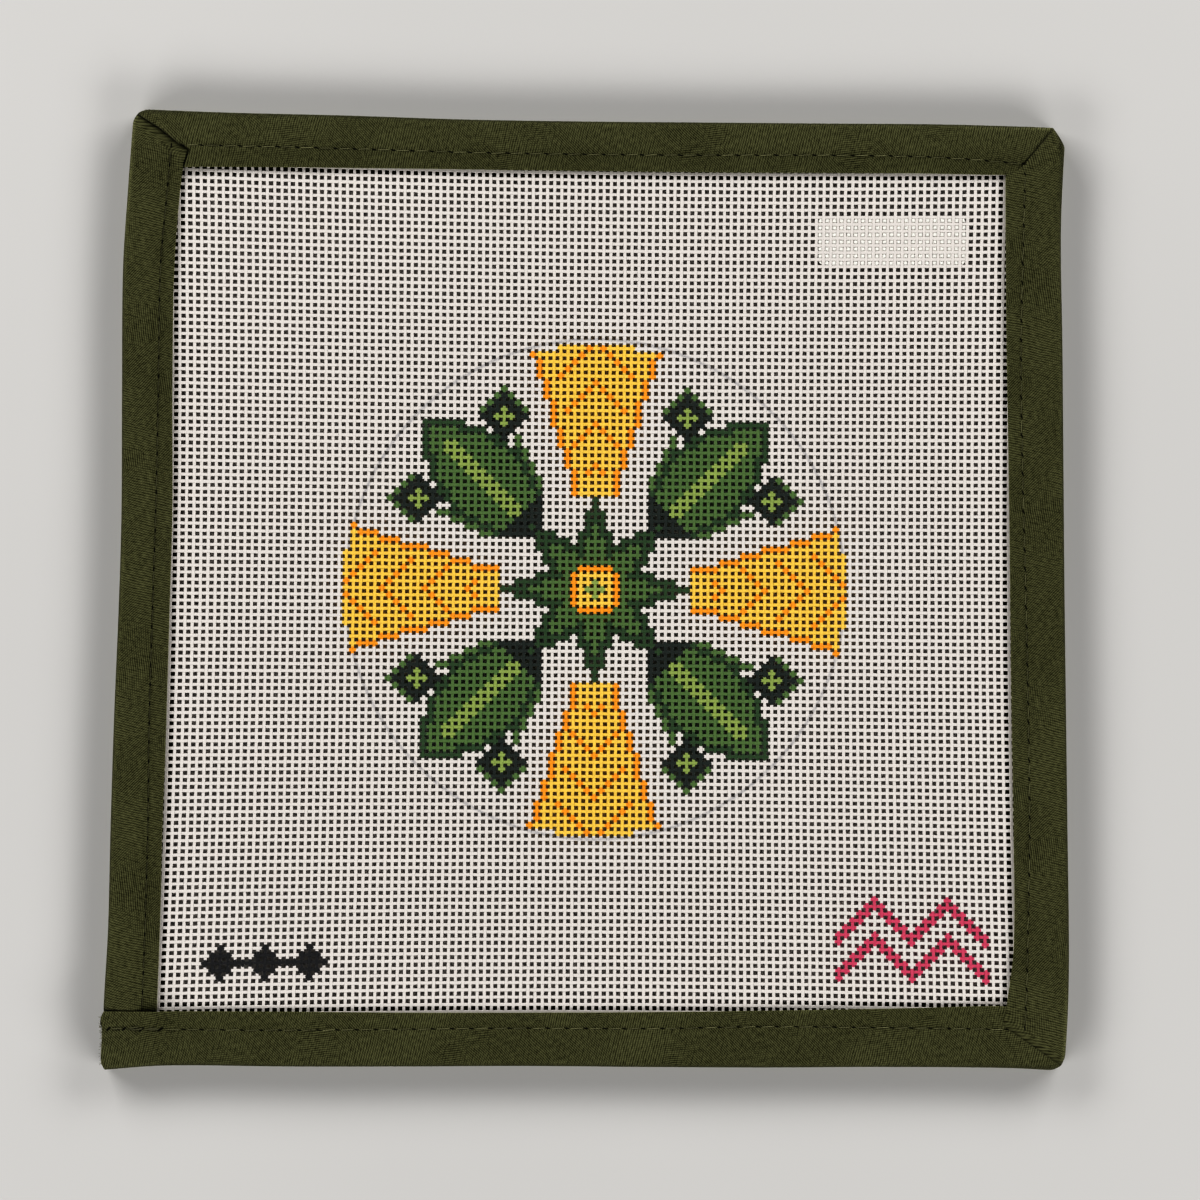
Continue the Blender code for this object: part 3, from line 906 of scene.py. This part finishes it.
def side_ends(number):
    """Where the stitching's line starts and ends along a side."""
    upright = SIDES[number][1]
    ends = []
    for mitre in (number - 1, number):
        if 0 <= mitre < len(MITRES):
            share = np.array([1 - MITRE_SEAM[mitre] / MITRE_WIDTH[mitre]])
            x, y, _, _ = mitre_point(mitre, share, 0.0)
            ends.append(float(y[0] if upright else x[0]))
        elif mitre < 0:
            ends.append(float(read(BOTTOM, LEFT[1][STITCHING], INNER)))
        else:
            ends.append(CUT_END[-1][1])
    return ends


def front_height(number, place, inset, width, near_start, near_end, past_seam):
    """The height of the front leg's face, without the sewing's dimples."""
    from_fold = width - inset
    hem_drop = HEM_DROP * (1 - smooth(inset / HEM_DROP_WIDTH))
    puffed = np.sin(math.pi * np.clip((from_fold - FOLD_REACH) / (width - FOLD_REACH), 0, 1)) ** 2
    broad = BOUND_THICK - hem_drop + PUFF * puffed
    for long, wide, change in HANDLING:
        broad = broad + WAVINESS * np.sin(place / long + from_fold / wide + change * number)
    if number > 0:
        risen = smooth(near_start / MITRE_STEP) * (1 - smooth(near_start / MITRE_FADE))
        lift = MITRE_LIFT[number - 1] * risen
        groove = MITRE_GROOVE[number - 1] * (1 - smooth(near_start / GROOVE_REACHES[0]))
        broad = broad + (lift - groove) * lerp(MITRE_INSIDE[number - 1], 1, past_seam)
    else:
        broad = broad - START_SINK * (1 - smooth(near_start / START_SINK_LENGTH))
    if number < len(MITRES):
        groove = MITRE_GROOVE[number] * (1 - smooth(near_end / GROOVE_REACHES[1]))
        broad = broad - groove * lerp(MITRE_INSIDE[number], 1, past_seam)
    else:
        lift = OVERLAP_LIFT * smooth((from_fold - FOLD_REACH) / OVERLAP_FROM_FOLD)
        broad = broad + smooth((OVERLAP_FROM - place) / OVERLAP_EASE) * (lift + hem_drop)
    return broad


def stitch_places(number):
    """The needle holes along a side, evenly spaced but for those near some corners."""
    start, end = side_ends(number)
    first_ones = (start, *FIRST_HOLES.get(number, ()))
    last_ones = LAST_HOLES.get(number, (end,))
    count = round(abs(last_ones[0] - first_ones[-1]) / STITCH)
    even = np.linspace(first_ones[-1], last_ones[0], count + 1)
    return np.concatenate([first_ones[:-1], even, last_ones[1:]])


def stitches_passed(place, holes):
    """How many stitches, with fractions, lie between a side's first needle hole and these places."""
    walked = np.abs(holes - holes[0])
    gone = (place - holes[0]) * np.sign(holes[-1] - holes[0])
    beyond = np.minimum(gone, 0) + np.maximum(gone - walked[-1], 0)
    return np.interp(gone, walked, np.arange(len(holes))) + beyond / STITCH


def row_end(number, mitre, share, back):
    """Where a row ends at a mitre or at the tape's own end, its shift from the side's table, and its bend."""
    table, upright = SIDES[number][:2]
    reach, power = NO_BEND
    if 0 <= mitre < len(MITRES):
        x, y, reach, power = mitre_point(mitre, share, back)
    elif mitre < 0:
        x = across(LEFT, LEFT[1][0], share)
        y = read(BOTTOM, x, INNER) + lerp(-TUCK, TAPE_GAP + BACK_LEG_EXTRA, back)
    else:
        x = np.interp(share, *np.array(CUT_END).T)
        y = across(BOTTOM, x, share)
    at, out = (y, x) if upright else (x, y)
    return at, out - across(table, at, share), reach, power


def row_height(kind, value, broad, front_dip, back_dip):
    """How high a row lies. broad is the height of the front leg's face without the sewing's dimples."""
    middle = BOUND_THICK / 2
    if kind in FRONT_KINDS:
        return broad - front_dip
    if kind in BACK_KINDS:
        return back_dip
    rise = broad - middle if value > 0 else middle
    return {
        "front_hem": broad - HEM_RADIUS + HEM_RADIUS * math.sin(value),
        "front_inside": broad - TAPE_THICK,
        "fold": middle + rise * math.sin(value),
        "inner_fold": middle + (middle - TAPE_THICK) * math.sin(value),
        "back_hem": HEM_RADIUS + HEM_RADIUS * math.sin(value),
        "back_inside": TAPE_THICK,
    }[kind]


def painted_shade_in_creases(number, near_start, near_end, past_seam):
    """How dark the painted shade in the mitres' creases and at the tape's tucked start makes a row of the
    front leg.
    """
    crease_painted_shade = np.zeros_like(near_start)
    for mitre, near in ((number - 1, near_start), (number, near_end)):
        if 0 <= mitre < len(MITRES):
            outside_part, inside_part = MITRE_PAINTED_SHADE[mitre]
            darkness = lerp(inside_part, outside_part, past_seam)
            crease_painted_shade = np.maximum(crease_painted_shade, darkness * bell(near, CREASE_WIDTH))
    if number == 0:
        crease_painted_shade = np.maximum(crease_painted_shade, 1 - smooth((near_start - TUCK) / START_PAINTED_SHADE))
    return crease_painted_shade


def make_side(number):
    """One side of the tape: the position of each station and row, with the facts that its material reads."""
    table, upright, forward, slant, _ = SIDES[number]
    start, end = side_ends(number)
    length = abs(end - start)
    holes = stitch_places(number)
    knots = holes if number < len(MITRES) else np.append(holes, end)
    steps = np.arange((len(knots) - 1) * STEPS_PER_STITCH + 1) / STEPS_PER_STITCH
    along = np.interp(steps, np.arange(len(knots)), np.abs(knots - start) / length)
    close = CLOSE_STATIONS / length
    stations = np.sort(np.concatenate([along, close, 1 - close]))
    place = lerp(start, end, stations)
    width = np.abs(read(table, place, OUTER) - read(table, place, INNER))
    seam = np.abs(read(table, place, STITCHING) - read(table, place, INNER))
    for mitre, at in ((number - 1, start), (number, end)):
        if 0 <= mitre < len(MITRES):
            near = smooth(1 - np.abs(place - at) / MITRE_BLEND)
            width = lerp(width, MITRE_WIDTH[mitre], near)
            seam = lerp(seam, MITRE_SEAM[mitre], near)

    extra = np.full_like(place, BACK_LEG_EXTRA)
    if number == len(MITRES):
        extra = lerp(BACK_LEG_AT_CUT, BACK_LEG_EXTRA, smooth(np.abs(place - end) / BACK_LEG_TURN))

    shape = (len(stations), len(SECTION))
    points = np.zeros((*shape, 3))
    facts = {label: np.zeros(shape) for label in ("along", "phase", "aside", "crease_painted_shade", "mark_slant")}
    inward = 1 if table[0][INNER] > table[0][OUTER] else -1
    for row, (kind, value) in enumerate(SECTION):
        inset, back = row_inset(kind, value, width, seam, extra)
        share = 1 - inset / width
        ends = [row_end(number, number - 1, share[[0]], back), row_end(number, number, share[[-1]], back)]
        at = lerp(ends[0][0], ends[1][0], stations)
        out = across(table, at, share)
        distances = []
        for place_end, shift, reach, power in ends:
            distance = np.abs(at - place_end)
            distances.append(distance)
            out = out + shift * np.clip(1 - distance / reach, 0, 1) ** power
        near_start, near_end = distances
        aside = (out - read(table, at, STITCHING)) * inward
        phase = stitches_passed(at, holes)

        # the sewing's pull, which fades where the stitching turns the corner
        sewn = smooth(phase / SEWN_EASE + 1) * smooth((len(holes) - 1 - phase) / SEWN_EASE + 1)
        to_hole = np.abs(phase - np.round(phase)) * STITCH
        dip = SEAM_DIP * bell(aside, SEAM_DIP_WIDTH) + SEAM_PULL * bell(aside, SEAM_PULL_WIDTH)
        dip = dip + NEEDLE_DIP * bell(np.hypot(aside, to_hole), NEEDLE_REACH)
        level = np.where(kind == "front_hem", HEM_RADIUS, inset)
        past_seam = smooth(inset / seam - INSIDE_SEAM)
        broad = front_height(number, at, level, width, near_start, near_end, past_seam)
        back_dip = BACK_SEAM_DIP * bell(aside, SEAM_DIP_WIDTH) * sewn
        points[:, row, 0], points[:, row, 1] = (out, at) if upright else (at, out)
        points[:, row, 2] = row_height(kind, value, broad, dip * sewn, back_dip)

        tacked = smooth((TACKS_FROM - at) / TACKS_OVER) if number == len(MITRES) else 0
        outside = "inside" not in kind and kind != "inner_fold"
        facts["along"][:, row] = at * forward
        facts["phase"][:, row] = phase
        facts["aside"][:, row] = aside * lerp(1, TACK_SPREAD, tacked) if outside else 1.0
        facts["mark_slant"][:, row] = lerp(slant, TACK_SLANT, tacked)
        # painted shade along the mitres' creases and at the tucked start, on the front leg only
        facts["crease_painted_shade"][:, row] = painted_shade_in_creases(number, near_start, near_end, past_seam) * (1 - back)
    return points, facts, width


made_sides = [make_side(number) for number in range(len(SIDES))]


def joined(parts):
    """The sides' stations in one row. Sides that meet share the station in their mitre."""
    return np.concatenate([part if k == 0 else part[1:] for k, part in enumerate(parts)])


def closed(rings):
    """The rows round a section, with the first one again at the end."""
    return np.concatenate([rings, rings[:, :1]], axis=1)


def squares(grid):
    """What the four corners of each square in a grid have, in order round it."""
    return np.stack([grid[:-1, :-1], grid[1:, :-1], grid[1:, 1:], grid[:-1, 1:]], axis=2)


def make_tape():
    """The whole tape as one closed mesh: a ring of section rows at each station, and its two ends filled."""
    around = len(SECTION)
    points = joined([side[0] for side in made_sides])
    index = np.arange(len(points) * around).reshape(-1, around)
    faces = squares(closed(index)).reshape(-1, 4).tolist() + [index[0].tolist(), index[-1, ::-1].tolist()]

    # what each square's corners read: every side has its own lengthwise and crosswise measures
    maps = {"cloth": [], "seam": [], "OFBake": []}
    for number, (side_points, facts, width) in enumerate(made_sides):
        crosswise = closed(side_points[:, :, (0, 2) if SIDES[number][1] else (1, 2)])
        step = np.linalg.norm(np.diff(crosswise, axis=1), axis=2)
        walked = np.concatenate([np.zeros((len(step), 1)), np.cumsum(step, axis=1)], axis=1)
        along, phase, aside = (closed(facts[label]) for label in ("along", "phase", "aside"))
        upward = BAKE_MARGIN + (1 - 2 * BAKE_MARGIN) * walked / walked[:, -1:].max()
        for label, u, v in (
            ("cloth", along, walked - width[:, None]),
            ("seam", phase, aside),
            ("OFBake", np.abs(along - along[0, 0]) / BAKE_LENGTH, (number + upward) / len(SIDES)),
        ):
            maps[label].append(squares(np.stack([u, v], axis=2)).reshape(-1, 2))

    mesh = bpy.data.meshes.new("twill_binding")
    mesh.from_pydata(points.reshape(-1, 3).tolist(), [], faces)
    for label, parts in maps.items():
        end_faces = np.tile(parts[0][:1], (2 * around, 1))
        store_map(mesh, label, *np.concatenate([*parts, end_faces]).T)
    for name in ("crease_painted_shade", "mark_slant"):
        store(mesh, name, joined([side[1][name] for side in made_sides]))
    mesh.validate()
    mesh.shade_smooth()
    return place_object("twill_binding", mesh)


def calc_vector(tree, operation, *values):
    """One step of arithmetic with vectors."""
    return add(tree, "ShaderNodeVectorMath", dict(enumerate(values)), operation=operation).outputs[0]


# Twill: steep ribs across the tape, and shallow lines where the floats of the ribs follow each other. Seen
# together they make the faint third slant that such cloth shows.
RIB, RIB_SLANT = 0.000468, math.radians(76)
FLOAT, FLOAT_SLANT = 0.000430, math.radians(7)
DRIFT, DRIFTS_PER_METRE = 0.00060, 160.0  # the cloth's lines wander by this much from patch to patch
TURNED_FROM, TURNED_TO = 0.36, 0.50  # of the noise, where the floats turn to the third slant
TURNS_PER_METRE = 90.0
twill_group, taken, given = shader_group(
    "twill_weave",
    {
        "Cloth place": (0.0, 0.0, 0.0),
        "Rib": RIB,
        "Rib slant": RIB_SLANT,
        "Float": FLOAT,
        "Float slant": FLOAT_SLANT,
    },
    ("Ribs", "Floats", "Yarns"),
)
flat_place = taken["Cloth place"]
wander = noise(twill_group, flat_place, DRIFTS_PER_METRE, 2.0)["Color"]
centred = calc_vector(twill_group, "SUBTRACT", wander, (0.5, 0.5, 0.5))
shift = scaled(twill_group, centred, DRIFT)
cloth = split(twill_group, calc_vector(twill_group, "ADD", flat_place, shift))
counts = []
for pitch, slant in (("Rib", "Rib slant"), ("Float", "Float slant")):
    aside = calc(twill_group, "MULTIPLY", cloth[1], calc(twill_group, "COSINE", taken[slant]))
    over = calc(twill_group, "MULTIPLY", cloth[0], calc(twill_group, "SINE", taken[slant]))
    counts.append(calc(twill_group, "DIVIDE", calc(twill_group, "SUBTRACT", over, aside), taken[pitch]))
third = calc(twill_group, "SUBTRACT", counts[1], counts[0])
ribs, short_floats, long_floats = (wave(twill_group, count, "COSINE") for count in (*counts, third))
change = noise(twill_group, flat_place, TURNS_PER_METRE, 1.0)["Fac"]
turned = span(twill_group, change, TURNED_FROM, TURNED_TO)
yarn_place = join(twill_group, counts[0], calc(twill_group, "MULTIPLY", counts[1], 0.5))
twill_group.links.new(ribs, given["Ribs"])
twill_group.links.new(mix(twill_group, turned, short_floats, long_floats), given["Floats"])
twill_group.links.new(noise(twill_group, yarn_place, 1.0, 2.0)["Fac"], given["Yarns"])

TWILL_DARK, TWILL_LIGHT = (0.0190, 0.0187, 0.0056, 1), (0.167, 0.169, 0.086, 1)
FLECK_COLOUR, FLECK_SHARE = (0.12, 0.115, 0.055, 1), 0.15
FLECK_FROM, FLECK_TO = 0.60, 0.72  # of the specks' noise
LEANING = (0.42, 0.58, 0.20, 0.75)  # two limits of the patches' noise, and the ribs' share at each of them
# the painted shade's colour, mixed in at the needle holes, in the seam's groove and in the creases
PAINTED_SHADE_COLOUR = (0.004, 0.004, 0.002, 1)
NEEDLE_MARK_LENGTH, NEEDLE_MARK_WIDTH = 0.00052, 0.00014
MARK_RIM, MARK_CORE = 1.5, 0.6  # where a needle hole's painted shade ends and where it is darkest, as squares of its size
# how strong the painted shade is in the needle holes, in the seam's groove and in the creases
HOLE_PAINTED_SHADE, GROOVE_PAINTED_SHADE, CREASE_PAINTED_SHADE = 0.93, 0.16, 0.9
FOLD_PLACE, FOLD_PAINTED_SHADE = 0.0011, 0.48  # the outer fold's colour is darkened to this share, as painted shade
FOLD_SHADED_TO, FOLD_UNSHADED_FROM = 0.0009, 0.0018  # fully so up to the first distance, and not past the second
# the seam groove's painted shade reaches this far to each side of the stitching
GROOVE_WIDTH = 0.00024
tape_cloth, tree, shader = new_material("olive_twill", (0.045, 0.044, 0.017, 1), 0.9, Specular_IOR_Level=0.15)
cloudy = clouds(tree, patch=0.012, speck=0.0004)
cloth_map = read_map(tree, "cloth")
twill = use_group(tree, twill_group, {"Cloth place": cloth_map})
leaning = span(tree, cloudy["Patches"], *LEANING)
surface = mix(tree, leaning, twill["Floats"], twill["Ribs"])
cover = weighted(tree, -0.455, (twill["Yarns"], 1.00), (surface, 0.76))
lightness = calc(tree, "ADD", cover, weighted(tree, -0.15, (cloudy["Patches"], 0.30)))
shades = {"Factor": lightness, "A": TWILL_DARK, "B": TWILL_LIGHT}
olive = add(tree, "ShaderNodeMix", shades, data_type="RGBA", clamp_factor=True).outputs[2]
fleck = calc(tree, "MULTIPLY", span(tree, cloudy["Specks"], FLECK_FROM, FLECK_TO), FLECK_SHARE)
flecked = mix(tree, fleck, olive, FLECK_COLOUR, "RGBA")

# Painted shade: dark where the needle went through, in the seam's groove, and in the mitres' folds and at the
# tape's tucked start
phase, aside, _ = split(tree, read_map(tree, "seam"))
to_hole = calc(tree, "MULTIPLY", calc(tree, "SUBTRACT", phase, calc(tree, "ROUND", phase)), STITCH)
askew = calc(tree, "MULTIPLY_ADD", to_hole, carried(tree, "mark_slant"), aside)
from_hole = []
for distance, reach in ((to_hole, NEEDLE_MARK_LENGTH), (askew, NEEDLE_MARK_WIDTH)):
    part = calc(tree, "ABSOLUTE", calc(tree, "DIVIDE", distance, reach))
    from_hole.append(calc(tree, "POWER", part, 2.0))
hole = span(tree, calc(tree, "ADD", *from_hole), MARK_RIM, MARK_CORE)
groove = span(tree, calc(tree, "ABSOLUTE", aside), GROOVE_WIDTH, 0.0)
painted_shade = calc(tree, "MULTIPLY", hole, HOLE_PAINTED_SHADE)
for mark, dark in ((groove, GROOVE_PAINTED_SHADE), (carried(tree, "crease_painted_shade"), CREASE_PAINTED_SHADE)):
    painted_shade = calc(tree, "MAXIMUM", painted_shade, calc(tree, "MULTIPLY", mark, dark))

# painted shade along the outer fold, which is kept darker than the rest of the face
off_fold = calc(tree, "ABSOLUTE", calc(tree, "SUBTRACT", split(tree, cloth_map)[1], FOLD_PLACE))
fold_shade = span(tree, off_fold, FOLD_SHADED_TO, FOLD_UNSHADED_FROM, FOLD_PAINTED_SHADE, 1.0)
shaded = mix(tree, painted_shade, scaled(tree, flecked, fold_shade), PAINTED_SHADE_COLOUR, "RGBA")
relief = calc(tree, "MULTIPLY_ADD", surface, 1.0, calc(tree, "MULTIPLY", twill["Yarns"], 0.5))
finish_surface(tree, shader, shaded, relief, 0.6, 0.00004)

tape = make_tape()
tape.data.materials.append(tape_cloth)
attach(tape, "root")
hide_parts("binding_tape")


# ---------------------------------------------------------------------------------------------------
# The sewing: olive cotton thread in one line of lockstitch right round the binding, front and back. At the
# bottom left, where the seam starts and ends, the machine went back over a few stitches.
# ---------------------------------------------------------------------------------------------------
THREAD_RADIUS = 0.000072
STITCH_RISE = 0.00007  # the thread's middle stands this far above the seam
STITCH_SINK = 0.00026  # and its ends go this far down into the needle holes
STITCH_SHOWS = 0.84  # of each stitch's length
STITCH_SWAY = 0.00005
STITCH_GIRTHS, STITCH_TONES = (0.9, 1.1), (0.7, 1.3)
STITCH_SLANT = 0.00010  # each stitch lies askew by this much at its ends
BACK_STITCH_HEIGHT = 0.00010
# Extra stitches at the bottom left. Columns: start and end x, sideways shift at the start and at the end.
BACK_TACKS = (
    (-0.0945, -0.0925, -0.00010, 0.00020),
    (-0.0913, -0.0886, 0.00012, 0.00045),
    (-0.0909, -0.0880, -0.00020, 0.00008),
    (-0.0875, -0.0851, 0.00026, 0.00012),
    (-0.0873, -0.0850, -0.00004, -0.00004),
)
# the back-tacks are thicker and stand higher, and their thread, with the seam's stitches under them, is
# painted darker: painted shade
TACK_GIRTH, TACK_PAINTED_SHADE, TACK_RISE = 1.7, 0.70, 1.6
SEWING_COLOUR = (0.155, 0.153, 0.088)
SEWING_TWISTS = 9.0  # along each stitch

# Each point carries a short bent tube of thread, laid along the point's way and stretched to its span.
bits_tree, taken, given = geometry_tree(
    "bits_of_thread_on_points",
    {
        "Start": ("NodeSocketVector", (-0.5, 0, 0)),
        "Middle": ("NodeSocketVector", (0, 0, 0)),
        "End": ("NodeSocketVector", (0.5, 0, 0)),
        "Radius": ("NodeSocketFloat", THREAD_RADIUS),
        "Bends": ("NodeSocketInt", 7),
        "Sides": ("NodeSocketInt", 6),
        "Material": ("NodeSocketMaterial", None),
    },
)
arc_shape = {label: taken[label] for label in ("Start", "Middle", "End")}
arc = add(bits_tree, "GeometryNodeCurveQuadraticBezier", {"Resolution": taken["Bends"], **arc_shape})
ring_shape = {"Resolution": taken["Sides"], "Radius": taken["Radius"]}
ring = add(bits_tree, "GeometryNodeCurvePrimitiveCircle", ring_shape)
bit = add(
    bits_tree,
    "GeometryNodeCurveToMesh",
    {
        "Curve": keep_place(bits_tree, arc.outputs[0], "bit_along"),
        "Profile Curve": keep_place(bits_tree, ring.outputs["Curve"], "bit_round"),
        "Fill Caps": True,
    },
)
rounded = add(bits_tree, "GeometryNodeSetShadeSmooth", {"Geometry": bit.outputs[0]})
way, size = (named(bits_tree, name, "FLOAT_VECTOR") for name in ("way", "size"))
facing = add(bits_tree, "FunctionNodeAlignRotationToVector", {"Vector": way}, axis="X").outputs[0]
carrier = {"Points": taken["Geometry"], "Instance": rounded.outputs[0], "Rotation": facing, "Scale": size}
placed = add(bits_tree, "GeometryNodeInstanceOnPoints", carrier)
finish_tree(bits_tree, placed.outputs[0], taken["Material"], given)


def bits_guide(name, places, ways, sizes, tones):
    """A mesh of loose points, each with the way that its bit of thread runs, its size and its lightness."""
    mesh = bpy.data.meshes.new(name)
    mesh.from_pydata([tuple(place) for place in places], [], [])
    store(mesh, "way", ways, "FLOAT_VECTOR")
    store(mesh, "size", sizes, "FLOAT_VECTOR")
    store(mesh, "tone", tones)
    return place_object(name, mesh)


sewing_thread, tree, shader = new_material(
    "olive_sewing_thread", (*SEWING_COLOUR, 1), 0.75, Specular_IOR_Level=0.15
)
along = calc(tree, "MULTIPLY", carried(tree, "bit_along"), SEWING_TWISTS)
around = carried(tree, "bit_round")
fibres = use_group(tree, fibre_group, {"Along": along, "Round": around, "Twists": 1.0, "Plies": 2.0})
shade = weighted(tree, 0.45, (fibres["Fibres"], 0.5), (fibres["Plies"], 0.5))
# the tone carries each side's painted light and shade, painted shade at the back-tacks, and each stitch's
# random tone
toned = scaled(tree, SEWING_COLOUR, calc(tree, "MULTIPLY", shade, carried(tree, "tone")))
finish_surface(tree, shader, toned, fibres["Plies"], 0.6, 0.00003)

SEAM_ROW = [SECTION.index((kind, 0.0)) for kind in ("front_seam", "back_seam")]


def stitch_points(back):
    """The middle, way, size and lightness of every stitch in the seam, on the front or on the back."""
    sway = np.random.default_rng(7 + back)
    places, ways, sizes, tones = [], [], [], []
    for number, (table, upright, _, _, tone) in enumerate(SIDES):
        holes = np.sort(stitch_places(number))
        line = made_sides[number][0][:, SEAM_ROW[back]]
        line = line[np.argsort(line[:, 1 if upright else 0])]
        for low, high in zip(holes[:-1], holes[1:]):
            ends = []
            for place in (low, high):
                slant = STITCH_SLANT * (1 if place == high else -1)
                out = float(read(table, place, STITCHING)) + slant + sway.uniform(-STITCH_SWAY, STITCH_SWAY)
                ends.append(np.array([out, place, 0.0]) if upright else np.array([place, out, 0.0]))
            middle = (ends[0] + ends[1]) / 2
            height = float(np.interp((low + high) / 2, line[:, 1 if upright else 0], line[:, 2]))
            middle[2] = BACK_STITCH_HEIGHT if back else height + STITCH_RISE
            places.append(middle)
            ways.append(ends[1] - ends[0])
            sizes.append(((high - low) * STITCH_SHOWS, sway.uniform(*STITCH_GIRTHS), 1.0))
            # each side's painted light and shade, painted shade near the back-tacks, and a random tone for
            # each stitch
            tones.append(tone * sway.uniform(*STITCH_TONES) * (TACK_PAINTED_SHADE if high < TACKS_FROM else 1))
    if not back:
        for start, end, low, high in BACK_TACKS:
            middle = (start + end) / 2
            out = float(read(BOTTOM, middle, STITCHING)) + (low + high) / 2
            height = float(np.interp(middle, line[:, 0], line[:, 2])) + STITCH_RISE * TACK_RISE
            places.append(np.array([middle, out, height]))
            ways.append(np.array([end - start, high - low, 0.0]))
            sizes.append((end - start, TACK_GIRTH, TACK_GIRTH))
            tones.append(TACK_PAINTED_SHADE)
    return places, ways, sizes, tones


for name, back in (("seam_stitches_front", 0), ("seam_stitches_back", 1)):
    sink = -STITCH_SINK if back else STITCH_SINK
    bowed = {"Start": (-0.5, 0, -sink), "Middle": (0, 0, sink), "End": (0.5, 0, -sink)}
    guide = bits_guide(name, *stitch_points(back))
    stitches = grow(guide, bits_tree, {**bowed, "Material": sewing_thread})
    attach(stitches, "root")


# ---------------------------------------------------------------------------------------------------
# The tape's raw cut end at the bottom left. The twill's yarns have come a little loose there, so short
# fibres stand out from the edges of both legs.
# ---------------------------------------------------------------------------------------------------
FIBRES = 130
FIBRE_LENGTHS = (0.00025, 0.00080)
FIBRE_RADIUS = 0.032  # of its length
FRONT_SHARE = 0.7  # of the fibres
ROOTED = 0.00012  # their roots lie this far inside the cloth
SPREAD, TILT = 0.55, 0.30  # of their turns from straight out, in radians
loose = np.random.default_rng(41)
places, ways, sizes = [], [], []
end_line = made_sides[-1][0][-1]
front_top, back_low = (
    [i for i, (kind, _) in enumerate(SECTION) if kind in kinds] for kinds in (FRONT_KINDS, BACK_KINDS)
)
for _ in range(FIBRES):
    row = front_top if loose.random() < FRONT_SHARE else back_low
    across_rows = loose.uniform(0, len(row) - 1)
    low = int(across_rows)
    at = lerp(end_line[row[low]], end_line[row[low + 1]], across_rows - low)
    depth = loose.uniform(-TAPE_THICK, 0) if row is front_top else loose.uniform(0.2, 1) * TAPE_THICK
    places.append(at + np.array([ROOTED, 0.0, depth]))
    turn, tilt = loose.normal(0, SPREAD), loose.normal(0, TILT)
    if row is back_low:
        tilt = abs(tilt)
    ways.append((-math.cos(turn) * math.cos(tilt), math.sin(turn), math.sin(tilt)))
    size = loose.uniform(*FIBRE_LENGTHS)
    curl = loose.choice((-1, 1)) if row is front_top else 1
    sizes.append((size, size, size * curl))
bent = {"Start": (0, 0, 0), "Middle": (0.55, 0, 0.3), "End": (1, 0, 0)}
fray = grow(
    bits_guide("frayed_end", places, ways, sizes, np.ones(FIBRES)),
    bits_tree,
    {**bent, "Radius": FIBRE_RADIUS, "Bends": 5, "Sides": 4, "Material": sewing_thread},
)
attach(fray, "root")


# ---------------------------------------------------------------------------------------------------
# The label: a blank rectangle of coated white paper with round corners, stuck on the canvas's back near
# the top right. From the front it shows through the holes.
# ---------------------------------------------------------------------------------------------------
LABEL_SIZE = (0.0294, 0.0098)
LABEL_CENTRE = (0.0614, 0.0698)
LABEL_CORNER = 0.0013
LABEL_TOP, LABEL_BACK = 0.00145, 0.00123
LABEL_STEPS = (189, 63)  # squares of its face, across and up
NUMBER_STEPS = 8  # enough to find a place's column and row
BULGE = 0.00028  # the paper rises this far into the canvas's holes
THREAD_CLEAR, BULGE_EASE = 0.14, 0.12  # it lies flat this near a thread's middle and then rises, in pitches
PAPER_COLOUR = (0.79, 0.775, 0.725)


def crossing_number(x, y):
    """The column and row, with fractions, at a place on the canvas."""
    column, row = np.zeros_like(x), np.zeros_like(y)
    for _ in range(NUMBER_STEPS):
        at_x, at_y = crossing_place(column, row)
        column = column + (x - at_x) * HALF_COLUMNS / HALF_ACROSS[0]
        row = row - (y - at_y) * HALF_ROWS / HALF_ACROSS[1]
    return column, row


half_width, half_height = LABEL_SIZE[0] / 2, LABEL_SIZE[1] / 2
shares = [np.linspace(-1, 1, steps + 1) for steps in LABEL_STEPS]
across_share, up_share = np.meshgrid(*shares, indexing="ij")
y = up_share * half_height
into_corner = np.clip(np.abs(y) - (half_height - LABEL_CORNER), 0, LABEL_CORNER)
x = across_share * (half_width - LABEL_CORNER + np.sqrt(LABEL_CORNER**2 - into_corner**2))
x, y = x + LABEL_CENTRE[0], y + LABEL_CENTRE[1]
rises = [smooth((np.abs(n - np.round(n)) - THREAD_CLEAR) / BULGE_EASE) for n in crossing_number(x, y)]
z = LABEL_TOP + BULGE * rises[0] * rises[1] + swell_height(x, y)
points = np.stack([x, y, z], axis=2).reshape(-1, 3)
index = np.arange(len(points)).reshape(x.shape)
rim = np.concatenate([index[:-1, 0], index[-1, :-1], index[:0:-1, -1], index[0, :0:-1]])
below = points[rim] * (1, 1, 0) + (0, 0, LABEL_BACK)
low = len(points) + np.arange(len(rim))
walls = np.stack([rim, low, np.roll(low, -1), np.roll(rim, -1)], axis=1)
mesh = bpy.data.meshes.new("blank_label")
faces = squares(index).reshape(-1, 4).tolist() + walls.tolist() + [low[::-1].tolist()]
mesh.from_pydata(np.concatenate([points, below]).tolist(), [], faces)
mesh.shade_smooth()
mesh.set_sharp_from_angle(angle=math.radians(60))
label = place_object("blank_label", mesh)

label_paper, tree, shader = new_material("coated_label_paper", (0.86, 0.84, 0.80, 1), 0.45)
cloudy = clouds(tree, patch=0.006, speck=0.0003)
shade = weighted(tree, 0.94, (cloudy["Specks"], 0.04), (cloudy["Patches"], 0.08))
finish_surface(tree, shader, scaled(tree, PAPER_COLOUR, shade), cloudy["Specks"], 0.3, 0.00002)
mesh.materials.append(label_paper)
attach(label, "root")
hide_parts("back_label")
